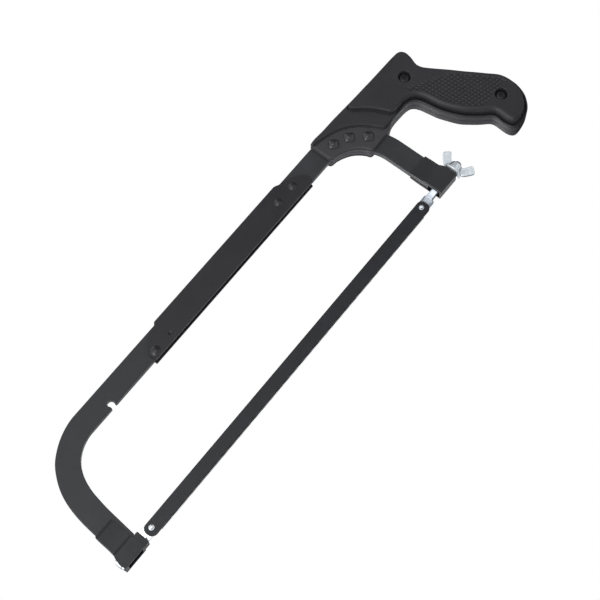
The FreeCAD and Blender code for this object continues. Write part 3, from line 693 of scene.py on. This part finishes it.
# the middle step in front of the panel; it runs off past the handle's top and front edges
STEP = [
    (283.0, 96.0), (300.0, 97.0), (328.0, 96.0), (340.0, 93.0), (345.0, 84.0), (350.0, 74.0),
    (353.0, 64.0), (351.0, 60.2), (345.4, 59.0), (339.3, 58.5), (334.6, 58.0), (332.3, 58.2),
    (331.2, 59.6), (329.2, 63.3), (325.1, 70.5), (319.7, 76.9), (313.4, 81.9), (304.4, 86.3),
    (296.0, 88.7), (288.0, 90.2), (282.0, 91.4),
]
# the room hollowed out inside the grip
HOLLOW = [
    (345.0, 66.0), (361.0, 64.4), (369.4, 61.0), (374.0, 53.0), (375.8, 43.0), (379.6, 31.0),
    (386.4, 18.6), (394.6, 8.6), (396.6, 0.0), (396.6, -8.6), (403.0, -9.6), (410.0, -6.0),
    (414.0, 2.0), (414.0, 9.6), (411.6, 17.4), (402.0, 33.6), (391.6, 50.6), (384.4, 62.6),
    (382.6, 70.0), (384.4, 78.0), (382.0, 82.4), (360.0, 83.2), (345.0, 83.6), (342.0, 80.0),
]
core = ccw(closed_spline(CORE, 0.7))
panel = ccw(closed_spline(PANEL, 0.6))
step = ccw(closed_spline(STEP, 0.7))
hollow = ccw(closed_spline(HOLLOW, 2.0))

# heights of the three levels above the middle plane, for each half
CORE_Y, STEP_Y, PANEL_Y = 6.5, 8.2, 11.6
CORE_EDGE = 1.1                # edge radius of the core
WALL_TOP = CORE_Y - CORE_EDGE
SCREWS = ((373.6, 71.2), (405.6, 6.6))
RIVETS = ((298.9, 79.3), (310.3, 73.7), (319.6, 63.3))

# The panel's underside has a generous rounded edge, from the first bend to the pommel's hook.
UNDER_START, UNDER_END = np.array([352.0, 60.8]), np.array([399.0, -14.6])

KNURL_PITCH = 2.75
KNURL_GROOVES = ((75.0, 0.66), (4.0, 0.46))    # (direction across the grooves in degrees, depth)


def split_panel():
    """The panel's outline as its underside and the rest."""
    start, end = (int(np.argmin(((panel - corner) ** 2).sum(1)))
                  for corner in (UNDER_START, UNDER_END))
    count = len(panel)
    parts = [panel[[(a + k) % count for k in range((b - a) % count + 1)]]
             for a, b in ((start, end), (end, start))]
    return parts if len(parts[0]) < len(parts[1]) else parts[::-1]


under, rest_of_panel = split_panel()


def slant(points):
    """Position on a line that climbs rearward; the knurled field ends at one value of it."""
    return points[:, 0] * 0.52 + points[:, 1] * 0.86


# ============================================================================ handle surface
def knurl(points):
    """Two families of shallow grooves across the grip."""
    height = np.zeros(len(points))
    for degrees, depth in KNURL_GROOVES:
        angle = math.radians(degrees)
        along = (points[:, 0] * math.cos(angle) + points[:, 1] * math.sin(angle)) / KNURL_PITCH
        saw = np.abs(along - np.floor(along) - 0.5) * 2        # 1 at the groove, 0 at the crest
        height -= depth * rise(saw, 0.30, 0.95)
    return height


def fine_groove(depth):
    """Profile of a narrow groove just outside an outline."""
    return np.exp(-((depth + 0.45) / 0.33) ** 2)


def outer_height(points):
    """Height of the handle's outer face above the middle plane."""
    x, z = points[:, 0], points[:, 1]
    in_core = depth_inside(points, core)
    in_panel = depth_inside(points, panel)
    in_step = depth_inside(points, step)
    from_under = line_distance(points, under, closed=False)
    from_rest = line_distance(points, rest_of_panel, closed=False)
    height = rounded(in_core, CORE_Y, CORE_EDGE)
    # the flange round the panel: a low bead with a deep groove between it and the panel
    groove = rise(in_panel, -2.05, -1.35) * (1 - rise(in_step, -0.6, 0.2)) * (in_panel < 0)
    behind_front = rise(x, 333.0, 341.0)
    below_top = 1 - rise(z, 84.0, 87.0)
    height = height - groove * 2.5 * behind_front * rise(in_core, 0.55, 1.1) * below_top
    # middle step, with a fine groove along its front arc
    height = height - 0.75 * fine_groove(in_step) * rise(in_core, 0.9, 1.8) * (in_panel < 0)
    step_height = np.minimum(rounded(in_step, STEP_Y, 0.7), rounded(in_core, STEP_Y, 2.0))
    height = np.where(in_step > 0, np.maximum(height, step_height), height)
    # fine groove at the foot of the panel's front arc, on the step
    height = height - 0.8 * fine_groove(in_panel) * (in_step > 0.3)
    # raised panel: large radius along the underside, small round the rest
    panel_height = np.minimum(rounded(from_under, PANEL_Y, 3.1), rounded(from_rest, PANEL_Y, 1.0))
    # knurled field inside a smooth border
    field = rise(from_under, 3.3, 4.1) * rise(from_rest, 2.6, 3.4)
    field = field * (1 - rise(slant(points), 244.5, 247.5))
    field = field * rise(z, 9.0, 13.0) * rise(x, 366.0, 368.0)
    panel_height = panel_height + field * knurl(points)
    return np.where(in_panel >= 0, np.maximum(panel_height, height), height)


def plain_grid():
    """Coarse filling points, clear of the outlines and of the knurl."""
    low, high = core.min(0), core.max(0)
    xs, zs = np.meshgrid(np.arange(low[0], high[0], 1.3), np.arange(low[1], high[1], 1.3))
    grid = np.stack([xs.ravel(), zs.ravel()], 1)
    grid = grid[depth_inside(grid, core) > 1.5]
    depth = depth_inside(grid, panel)
    knurled = (depth > 3.4) & (slant(grid) < 248.8) & (grid[:, 1] > 7.5)
    return grid[((np.abs(depth) > 3.6) | (depth < -2.3)) & ~knurled]


def knurl_grid():
    """Fine filling points in line with the knurl, eight to a pitch."""
    angles = [math.radians(degrees) for degrees, depth in KNURL_GROOVES]
    directions = np.array([[math.cos(angle), math.sin(angle)] for angle in angles])
    rows, columns = np.meshgrid(np.arange(-900, 1700), np.arange(500, 1500))
    grid = np.stack([rows.ravel(), columns.ravel()], 1) * (KNURL_PITCH / 8)
    grid = grid @ np.linalg.inv(directions).T
    x, z = grid[:, 0], grid[:, 1]
    grid = grid[(x > 366) & (x < 420) & (z > 8.0) & (z < 72)]
    grid = grid[inside(grid, panel)]
    grid = grid[slant(grid) < 248.5]
    return grid[depth_inside(grid, panel) > 3.4]


def outer_sheet():
    """The outer face seen along Y: plan points, triangles, heights and the rim's loop."""
    points, edges = [], []

    def add_ring(outline, keep=None, drop_rest=False):
        """Adds an outline's points and the edges between those to keep."""
        count = len(outline)
        if keep is None:
            keep = np.ones(count, bool)
        stored = [i for i in range(count) if keep[i] or not drop_rest]
        number = {i: len(points) + k for k, i in enumerate(stored)}
        points.extend(tuple(outline[i]) for i in stored)
        for i in range(count):
            j = (i + 1) % count
            if keep[i] and keep[j]:
                edges.append((number[i], number[j]))

    # rings that follow the outlines, closest where the height changes fastest
    add_ring(core)
    for inset in (0.08, 0.25, 0.5, 0.8, 1.15):
        add_ring(offset(core, -inset))
    for outset in (2.1, 1.72, 1.34, 0.9, 0.5, 0.06, 0.0, -0.12, -0.3, -0.6, -1.0, -1.5, -2.1,
                   -2.7, -3.3):
        ring = offset(panel, outset)
        add_ring(ring, depth_inside(ring, core) > 1.25)
    for outset in (1.1, 0.78, 0.45, 0.12, 0.04, -0.1, -0.3, -0.7):
        ring = offset(step, outset)
        keep = (depth_inside(ring, core) > 0.9) & (depth_inside(ring, panel) < -0.9)
        add_ring(ring, keep, drop_rest=True)
    for grid in (plain_grid(), knurl_grid()):
        points.extend(tuple(point) for point in grid)
    plan, triangles = triangulate(points, len(core), edges, 1e-5)
    heights = outer_height(plan)
    following = dict(open_edges(triangles))
    start = next(iter(following))
    loop = [start]
    while following[loop[-1]] != start:
        loop.append(following[loop[-1]])
    heights[loop] = WALL_TOP
    return plan, triangles, heights, loop


# Side wall, from the outer face down to the joint: (height above the middle plane, inset,
# front only). The front part has a groove in its wall; both halves meet in a small chamfer.
WALL = (
    (5.1, 0.0, False), (4.9, 0.75, True), (3.75, 0.75, True), (3.5, 0.0, False),
    (2.0, 0.0, False), (0.45, 0.0, False), (0.24, 0.16, False), (0.02, 0.40, False),
)


def handle_shell(name, side):
    """Solid half handle; side is -1 towards -Y and 1 towards +Y."""
    plan, triangles, heights, loop = sheet
    verts = [(x, side * y, z) for (x, z), y in zip(plan, heights)]
    faces = list(triangles)
    rim = plan[loop]
    count = len(loop)
    clockwise = not np.allclose(ccw(rim)[0], rim[0])
    inward = 1 if clockwise else -1
    front = 1 - rise(rim[:, 0], 331.0, 337.0)
    upper = loop
    for y, inset, front_only in WALL:
        share = front if front_only else np.ones(count)
        outline = rim + (offset(rim, inward * inset) - rim) * share[:, None]
        lower = list(range(len(verts), len(verts) + count))
        verts.extend((x, side * y, z) for x, z in outline)
        faces.extend((upper[i], upper[(i + 1) % count], lower[(i + 1) % count], lower[i])
                     for i in range(count))
        upper = lower
    faces.extend(tuple(upper[i] for i in face) for face in cap_faces(outline))
    return mesh_object(name, verts, faces)


def seat_outline():
    """The rear frame bar's corner, a quarter bend from level to upright, with a little play."""
    play = 0.08
    bar_top = 91.8 - 0.3
    bend_x = 284.3
    outer_radius, inner_radius = 332.8 - bend_x, 315.8 - bend_x
    bend_z = bar_top - outer_radius
    outer, inner = outer_radius + play, inner_radius - play
    front_end, lower_end = 270.0, 40.0
    points = [(front_end, bend_z + outer)]
    points += [(bend_x + outer * math.sin(turn), bend_z + outer * math.cos(turn))
               for turn in np.linspace(0, math.pi / 2, 40)]
    points += [(bend_x + outer, lower_end), (bend_x + inner, lower_end)]
    points += [(bend_x + inner * math.cos(turn), bend_z + inner * math.sin(turn))
               for turn in np.linspace(0, math.pi / 2, 32)]
    points += [(front_end, bend_z + inner)]
    return ccw(np.array(points))


def handle_half(node, side):
    shell = handle_shell(node + "_shell", side)

    def hole(x, z, start, end, radius, count):
        boolean(shell, cylinder("cut", (x, start, z), (x, end, z), radius, count))

    boolean(shell, prism("cut", seat_outline(), -side * 3.0, side * 2.56))
    # hollow, with the screw bosses left standing
    room = prism("cut", hollow, -side * 3.0, side * (PANEL_Y - 3.0))
    for x, z in SCREWS:
        boolean(room, cylinder("boss", (x, -side * 4.0, z), (x, side * 14.0, z), 6.6))
    boolean(shell, room)
    for x, z in RIVETS:
        hole(x, z, -side * 1.0, side * 12.0, radius=2.05, count=48)
    recess_floor, recess_end = 7.4, 15.0
    for x, z in SCREWS:
        hole(x, z, -side * 1.0, side * 14.0, radius=2.6, count=48)
        if side < 0:
            # round recess for the screw head, with a chamfered mouth
            recess = [(recess_floor, 0), (recess_floor, 4.65), (7.55, 4.8), (PANEL_Y - 0.3, 4.8),
                      (PANEL_Y + 0.2, 5.3), (recess_end, 5.3), (recess_end, 0)]
            boolean(shell, lathe("cut", recess, (x, 0, z), (0, -1, 0), 96))
        else:
            # hexagonal recess for the nut, 8.3 mm across its flats
            hole(x, z, recess_floor, recess_end, radius=8.3 / 2 / math.cos(math.pi / 6), count=6)
    place(shell, node, angle=32.0, body="frame")


sheet = outer_sheet()
handle_half("left_handle_half", -1)
handle_half("right_handle_half", 1)


# ============================================================================ handle rivets
def pillow_rivet(name, x, z):
    """Rivet with soft-edged square heads standing on a corner, on both sides of the handle."""
    count = 72
    half_width, shank_radius = 3.9, 2.0
    edge_height, crown = 0.45, 2.10            # head: height at its edge, and the dome on top
    foot_inset, sunk = 0.12, 0.05
    power = 3.4                                # squareness of the head
    turn = np.arange(count) * 2 * math.pi / count
    cos, sin = np.cos(turn), np.sin(turn)
    square_radius = 1.0 / (np.abs(cos) ** power + np.abs(sin) ** power) ** (1 / power)
    tilt = math.radians(45)
    across = cos * math.cos(tilt) - sin * math.sin(tilt)
    upward = cos * math.sin(tilt) + sin * math.cos(tilt)

    def ring(radius, y, square=1.0):
        reach = radius * (square * square_radius + (1 - square))
        return np.stack([x + across * reach, np.full(count, y), z + upward * reach], 1)

    def head(side):
        rows = [(x, side * (CORE_Y + edge_height + crown), z)]
        for part in (0.10, 0.2, 0.3, 0.4, 0.5, 0.6, 0.7, 0.8, 0.88, 0.94, 0.98, 1.0):
            height = edge_height + crown * (1 - part ** 2.1) ** 0.85
            rows.append(ring(half_width * part, side * (CORE_Y + height), min(1.0, 0.35 + part)))
        rows.append(ring(half_width, side * (CORE_Y + 0.25)))
        rows.append(ring(half_width - foot_inset, side * CORE_Y))
        rows.append(ring(half_width - foot_inset, side * (CORE_Y - sunk)))
        return rows

    shank = [ring(shank_radius, side * (CORE_Y - sunk), square=0.0) for side in (-1, 1)]
    rivet = ring_solid(name, head(-1) + shank + head(1)[::-1])
    place(rivet, "handle_rivets", angle=50.0, body="frame")


for i, (x, z) in enumerate(RIVETS):
    pillow_rivet("handle_rivet_%d" % (i + 1), x, z)


# ============================================================================ tension hardware
ROD_START, ROD_END = 327.8, 346.0
ROD_CUT = 328.6                # the plain stud is cut off here
NUT_X = 337.8                  # the wing nut's front face
WASHER_X = 336.25              # the washer's front face
WING_THICK = 2.6


def threaded_rod():
    """Threaded end of the rear stud, with a domed tip."""
    radius, pitch, depth, dome = 2.95, 1.0, 0.58, 0.9
    count, rings_per_turn = 48, 10
    lead_in = 0.9
    thread_end = ROD_END - dome
    core_radius = radius - depth
    rows = [(ROD_START, 0.0, 0.0)]
    turn = np.arange(count) * 2 * math.pi / count

    def add_ring(x, radii):
        rows.append(np.stack([np.full(count, x), radii * np.cos(turn), radii * np.sin(turn)], 1))

    for k in range(int(round((thread_end - ROD_START) / pitch * rings_per_turn)) + 1):
        x = ROD_START + k * pitch / rings_per_turn
        phase = (x / pitch - turn / (2 * math.pi)) % 1.0
        radii = radius - depth * rise(np.abs(phase - 0.5) * 2, 0.12, 0.88)
        lead = rise(x, thread_end - lead_in, thread_end)
        add_ring(x, radii * (1 - lead) + np.minimum(radii, core_radius) * lead)
    for part in (0.25, 0.5, 0.72, 0.88, 0.97):
        add_ring(thread_end + dome * part, core_radius * math.sqrt(1 - part * part))
    rows.append((ROD_END, 0.0, 0.0))
    return ring_solid("rod", rows)


def rear_stud():
    stud = cad_copy("rear_stud", "_copy")
    verts = [(x, y, z) for x in (ROD_CUT, 350.0) for y in (-4.0, 4.0) for z in (-4.0, 4.0)]
    faces = [(0, 1, 3, 2), (4, 6, 7, 5), (0, 4, 5, 1), (2, 3, 7, 6), (0, 2, 6, 4), (1, 5, 7, 3)]
    boolean(stud, mesh_object("cut", verts, faces))
    boolean(stud, threaded_rod(), "UNION")
    place(stud, "rear_stud", angle=30.0, name="rear_stud_threaded")


# (distance behind the nut's front face, radius)
NUT_HUB = [(0.0, 0.0), (0.0, 5.1), (0.25, 5.4), (1.6, 5.3), (5.2, 4.35), (5.75, 4.1), (5.9, 3.8),
           (5.9, 0.0)]
# (distance behind the nut's front face, distance from its axis)
NUT_WING = [
    (0.3, 3.0), (0.15, 5.0), (0.2, 7.4), (0.9, 9.1), (2.6, 10.8), (5.0, 12.7), (6.8, 13.8),
    (7.7, 13.9), (8.6, 13.4), (10.0, 11.9), (11.1, 10.4), (11.3, 9.8), (11.0, 9.2), (9.6, 8.0),
    (7.4, 6.6), (6.0, 5.3), (5.3, 4.1), (4.9, 3.0), (2.4, 2.4),
]


def wing_nut():
    """Cast wing nut: hub and wings melted together."""
    nut = lathe("wing_nut_cast", NUT_HUB, (NUT_X, 0, 0), (1, 0, 0), 96)
    for side in (1, -1):
        points = [(NUT_X + behind, side * away) for behind, away in NUT_WING]
        outline = ccw(closed_spline(points, 0.4))
        wing = prism("wing", outline, -WING_THICK / 2, WING_THICK / 2)
        with editing(wing.data) as build:
            sharp = [edge for edge in build.edges
                     if edge.calc_face_angle(0.0) > math.radians(70)]
            bmesh.ops.bevel(build, geom=sharp, offset=0.35 * MILLIMETRE, segments=3, profile=0.5,
                            affect="EDGES")
        boolean(nut, wing, "UNION")
    remesh = nut.modifiers.new("melt", "REMESH")
    remesh.mode = "VOXEL"
    remesh.voxel_size = 0.13 * MILLIMETRE
    remesh.use_smooth_shade = True
    smooth = nut.modifiers.new("soft", "SMOOTH")
    smooth.factor = 0.5
    smooth.iterations = 2
    swap_mesh(nut, take_evaluated(nut))
    boolean(nut, cylinder("bore", (NUT_X - 3, 0, 0), (NUT_X + 12, 0, 0), 3.05))
    place(nut, "wing_nut", angle=40.0, name="wing_nut_cast")


def tension_washer():
    bore = 3.2
    profile = [(0.0, bore), (0.0, 7.0), (0.12, 7.15), (0.3, 7.2), (1.2, 7.2), (1.4, 7.12),
               (1.5, 6.95), (1.5, bore)]
    washer = lathe("tension_washer_turned", profile, (WASHER_X, 0, 0), (1, 0, 0), 96)
    with editing(washer.data) as build:
        # the wall of the bore
        rims = [edge for edge in build.edges if edge.is_boundary]
        bmesh.ops.bridge_loops(build, edges=rims)
        bmesh.ops.recalc_face_normals(build, faces=build.faces)
    place(washer, "tension_washer", angle=40.0)


# (distance towards -Y, radius); the tip is a little slimmer than the blade's holes
PEG = [(-2.8, 0.0), (-2.8, 1.75), (-2.65, 1.9), (-0.02, 1.9), (0.0, 1.45), (1.25, 1.45),
       (1.6, 1.25), (1.85, 0.8), (1.95, 0.35), (1.97, 0.0)]

rear_stud()
wing_nut()
tension_washer()
for node, x in (("front_blade_peg", 0.0), ("rear_blade_peg", BLADE_SPAN)):
    peg = lathe(node + "_turned", PEG, (x, 0, 0), (0, -1, 0), 48)
    place(peg, node, angle=40.0)


# ============================================================================ blade
TOOTH_PITCH = 25.4 / 24        # 24 teeth to the inch
TOOTH_DEPTH = 0.6
BLADE_BACK, TOOTH_TIP = 4.5, -6.4              # z of the upper edge and of the tips
TOOTH_ROOT = TOOTH_TIP + TOOTH_DEPTH
BLADE_FRONT, BLADE_REAR = -5.3, 305.0
UPPER_RADIUS, LOWER_RADIUS = 4.2, 4.6          # corner radii
HOLE_RADIUS = 2.0
BLADE_SIDES = (0.10, 0.75)                     # y of the two faces
# rows of filling points: (z, spacing)
FILL_ROWS = ((-5.15, 0.7), (-4.7, 0.7), (-4.2, 1.4), (-3.5, 2.8), (1.0, 8.0))


def blade_outline():
    """Counter-clockwise (x, z) outline, starting at the top of the front end."""
    quarter = [(math.sin(turn), math.cos(turn)) for turn in np.linspace(0, math.pi / 2, 14)]
    upper_z, lower_z = BLADE_BACK - UPPER_RADIUS, TOOTH_ROOT + LOWER_RADIUS
    upper_front, upper_rear = BLADE_FRONT + UPPER_RADIUS, BLADE_REAR - UPPER_RADIUS
    lower_front, lower_rear = BLADE_FRONT + LOWER_RADIUS, BLADE_REAR - LOWER_RADIUS
    points = [(upper_front - UPPER_RADIUS * sin, upper_z + UPPER_RADIUS * cos)
              for sin, cos in quarter]
    points += [(lower_front - LOWER_RADIUS * cos, lower_z - LOWER_RADIUS * sin)
               for sin, cos in quarter[1:]]
    x = 4.0
    while x + TOOTH_PITCH < 296.0:
        points += [(x, TOOTH_ROOT), (x + 0.07, TOOTH_TIP + 0.04), (x + 0.11, TOOTH_TIP),
                   (x + 0.28, TOOTH_TIP), (x + 0.7, TOOTH_ROOT - 0.18)]
        x += TOOTH_PITCH
    points += [(x, TOOTH_ROOT)]
    points += [(lower_rear + LOWER_RADIUS * sin, lower_z - LOWER_RADIUS * cos)
               for sin, cos in quarter]
    points += [(upper_rear + UPPER_RADIUS * cos, upper_z + UPPER_RADIUS * sin)
               for sin, cos in quarter[1:]]
    return points


def blade():
    points = blade_outline()
    border = len(points)
    edges = [(i, (i + 1) % border) for i in range(border)]
    holes = (0.0, BLADE_SPAN)
    sides = 48
    for hole_x in holes:
        first = len(points)
        points += [(hole_x + HOLE_RADIUS * math.cos(turn), HOLE_RADIUS * math.sin(turn))
                   for turn in np.arange(sides) * 2 * math.pi / sides]
        edges += [(first + i, first + (i + 1) % sides) for i in range(sides)]
    for z, spacing in FILL_ROWS:
        points += [(x, z) for x in np.arange(6.0, 294.0, spacing)]
    plan, triangles = triangulate(points, border, edges, 1e-6)

    def outside_holes(triangle):
        x, z = plan[list(triangle)].mean(0)
        return all((x - hole_x) ** 2 + z ** 2 > (HOLE_RADIUS - 0.03) ** 2 for hole_x in holes)

    triangles = [triangle for triangle in triangles if outside_holes(triangle)]
    # wavy set of the cutting edge, fading out at both ends and towards the back
    x, z = plan[:, 0], plan[:, 1]
    ends = rise(x, 6.0, 14.0) * (1 - rise(x, 286.0, 294.0))
    wave = 0.18 * np.sin(x * 2 * math.pi / (TOOTH_PITCH * 8))
    wave = wave * (1 - rise(z, -5.85, -4.4)) * ends
    count = len(plan)
    verts = [(x, y + shift, z) for y in BLADE_SIDES for (x, z), shift in zip(plan, wave)]
    faces = triangles + [tuple(i + count for i in face[::-1]) for face in triangles]
    for edge in open_edges(triangles):
        a, b = sorted(edge)
        faces.append((a, b, b + count, a + count))
    place(mesh_object("blade_set", verts, faces), "blade", angle=30.0)


blade()


# ============================================================================ softened CAD parts
# (CAD node, slot, (edge radius, segments, least edge angle), shading angle)
SOFTENED = (
    ("front_frame_bar", "frame_paint", (0.12, 2, 50.0), 60.0),
    ("rear_frame_bar", "frame_paint", (0.12, 2, 50.0), 60.0),
    ("channel_sleeve", "sleeve_paint", (0.10, 2, 50.0), 60.0),
    ("front_holder", "holder_paint", (0.30, 3, 20.0), 60.0),
    ("rear_holder", "holder_paint", (0.28, 3, 20.0), 60.0),
    ("front_stud", "zinc", (0.15, 2, 50.0), 35.0),
    ("handle_screws", "screw_black", (0.14, 2, 40.0), 35.0),
    ("handle_nuts", "screw_black", (0.2, 2, 40.0), 35.0),
)
for node, slot, rounding, angle in SOFTENED:
    piece = cad_copy(node, "_refined", rounding)
    place(piece, node, angle)
    # large flat faces keep their own direction, so only the small rounded edges shade smoothly
    even = piece.modifiers.new("even", "WEIGHTED_NORMAL")
    even.mode = "FACE_AREA"
    even.weight = 90
    even.keep_sharp = True


# ============================================================================ world and lights
# From here on, lengths are in metres.
def studio_world():
    """Soft light, brightest from the front left; the camera sees plain white."""
    bright_side = (-0.88, -0.44, -0.06)
    world = bpy.data.worlds.new("studio")
    scene.world = world
    tree = Nodes(world, "Generated")
    dot = tree.add("ShaderNodeVectorMath", {0: tree.coords, 1: bright_side},
                   operation="DOT_PRODUCT")
    strength = tree.ramp(dot.outputs["Value"], start=-0.52, end=0.88, low=0.16, high=1.22)
    light = tree.add("ShaderNodeBackground",
                     {"Color": (0.97, 0.985, 1.0, 1.0), "Strength": strength})
    white = tree.add("ShaderNodeBackground", {"Color": (1.0, 1.0, 1.0, 1.0), "Strength": 1.0})
    path = tree.add("ShaderNodeLightPath")
    mixer = tree.add("ShaderNodeMixShader", {0: path.outputs["Is Camera Ray"],
                                             1: light.outputs[0], 2: white.outputs[0]})
    tree.add("ShaderNodeOutputWorld", {0: mixer.outputs[0]})


def area(name, location, size, power, target=(0.20, 0.0, 0.03)):
    light = bpy.data.lights.new(name, "AREA")
    light.shape = "RECTANGLE"
    light.size, light.size_y = size
    light.energy = power
    lamp = link(name, light)
    lamp.location = location
    lamp.rotation_mode = "QUATERNION"
    aim = Vector(target) - Vector(location)
    lamp.rotation_quaternion = aim.to_track_quat("-Z", "Y")
    lamp.visible_camera = False


studio_world()
area("key", location=(-0.74, -0.92, 0.06), size=(0.5, 0.5), power=6.0)
area("front_fill", location=(0.08, -1.35, 0.34), size=(0.36, 0.36), power=1.3,
     target=(0.02, 0.0, 0.03))
area("top", location=(0.30, 0.10, 0.95), size=(0.9, 0.6), power=2.2)
area("back", location=(0.35, 0.95, 0.35), size=(0.8, 0.6), power=4.5)


# ============================================================================ floor
def floor_finish():
    """Pale matt floor, seen from above only, so that a camera below it sees past it."""
    dark, light = (0.80, 0.80, 0.80), (0.84, 0.84, 0.845)
    least_lift = 0.28
    mat, tree = new_material("floor_finish")
    colour = tree.mix(tree.noise(scale=3.0, detail=2.0), dark, light)
    diffuse = tree.add("ShaderNodeBsdfDiffuse", {"Color": colour, "Roughness": 0.6})
    clear = tree.add("ShaderNodeBsdfTransparent")
    geometry = tree.add("ShaderNodeNewGeometry")
    # for the camera it is lifted a little and fades to white further out; it lights nothing
    path = tree.add("ShaderNodeLightPath")
    distance = tree.add("ShaderNodeVectorMath", {0: tree.coords}, operation="LENGTH")
    away = tree.ramp(distance.outputs["Value"], start=0.55, end=3.2)
    glow = tree.add("ShaderNodeEmission", {"Color": (1.0, 1.0, 1.0, 1.0), "Strength": 1.0})
    lift = tree.math("MAXIMUM", away, least_lift)
    lift = tree.math("MULTIPLY", lift, path.outputs["Is Camera Ray"])
    pale = tree.add("ShaderNodeMixShader", {0: lift, 1: diffuse.outputs[0], 2: glow.outputs[0]})
    shader = tree.add("ShaderNodeMixShader", {0: geometry.outputs["Backfacing"],
                                              1: pale.outputs[0], 2: clear.outputs[0]})
    tree.add("ShaderNodeOutputMaterial", {0: shader.outputs[0]})
    return mat


FLOOR_GAP = 0.0006             # below the object
bpy.ops.mesh.primitive_grid_add(x_subdivisions=16, y_subdivisions=16, size=16.0,
                                location=(0.2, 0.0, cad_lo.z - FLOOR_GAP))
floor = bpy.context.object
floor.name = "floor"
floor.data.materials.append(floor_finish())
floor.visible_shadow = False


# ============================================================================ camera
CAMERA_PLACE = (-0.153771, -1.058603, -0.265777)
CAMERA_RIGHT = Vector((0.62008328, 0.01367033, -0.78441689))
CAMERA_UP = Vector((0.72552022, -0.3904457, 0.56672089))
CAMERA_FORWARD = Vector((0.29852494, 0.92052446, 0.25202695))

lens = bpy.data.cameras.new("camera")
lens.type = "PERSP"
lens.sensor_fit = "HORIZONTAL"
lens.sensor_width = 36.0
lens.lens = 98.202
lens.clip_start, lens.clip_end = 0.05, 20.0
camera = link("camera", lens)
pose = Matrix((CAMERA_RIGHT, CAMERA_UP, -CAMERA_FORWARD)).transposed().to_4x4()
pose.translation = CAMERA_PLACE
camera.matrix_world = pose
scene.camera = camera
scene.view_settings.view_transform = "Standard"
scene.view_settings.look = "None"
scene.view_settings.exposure = 0.0
scene.view_settings.gamma = 1.0
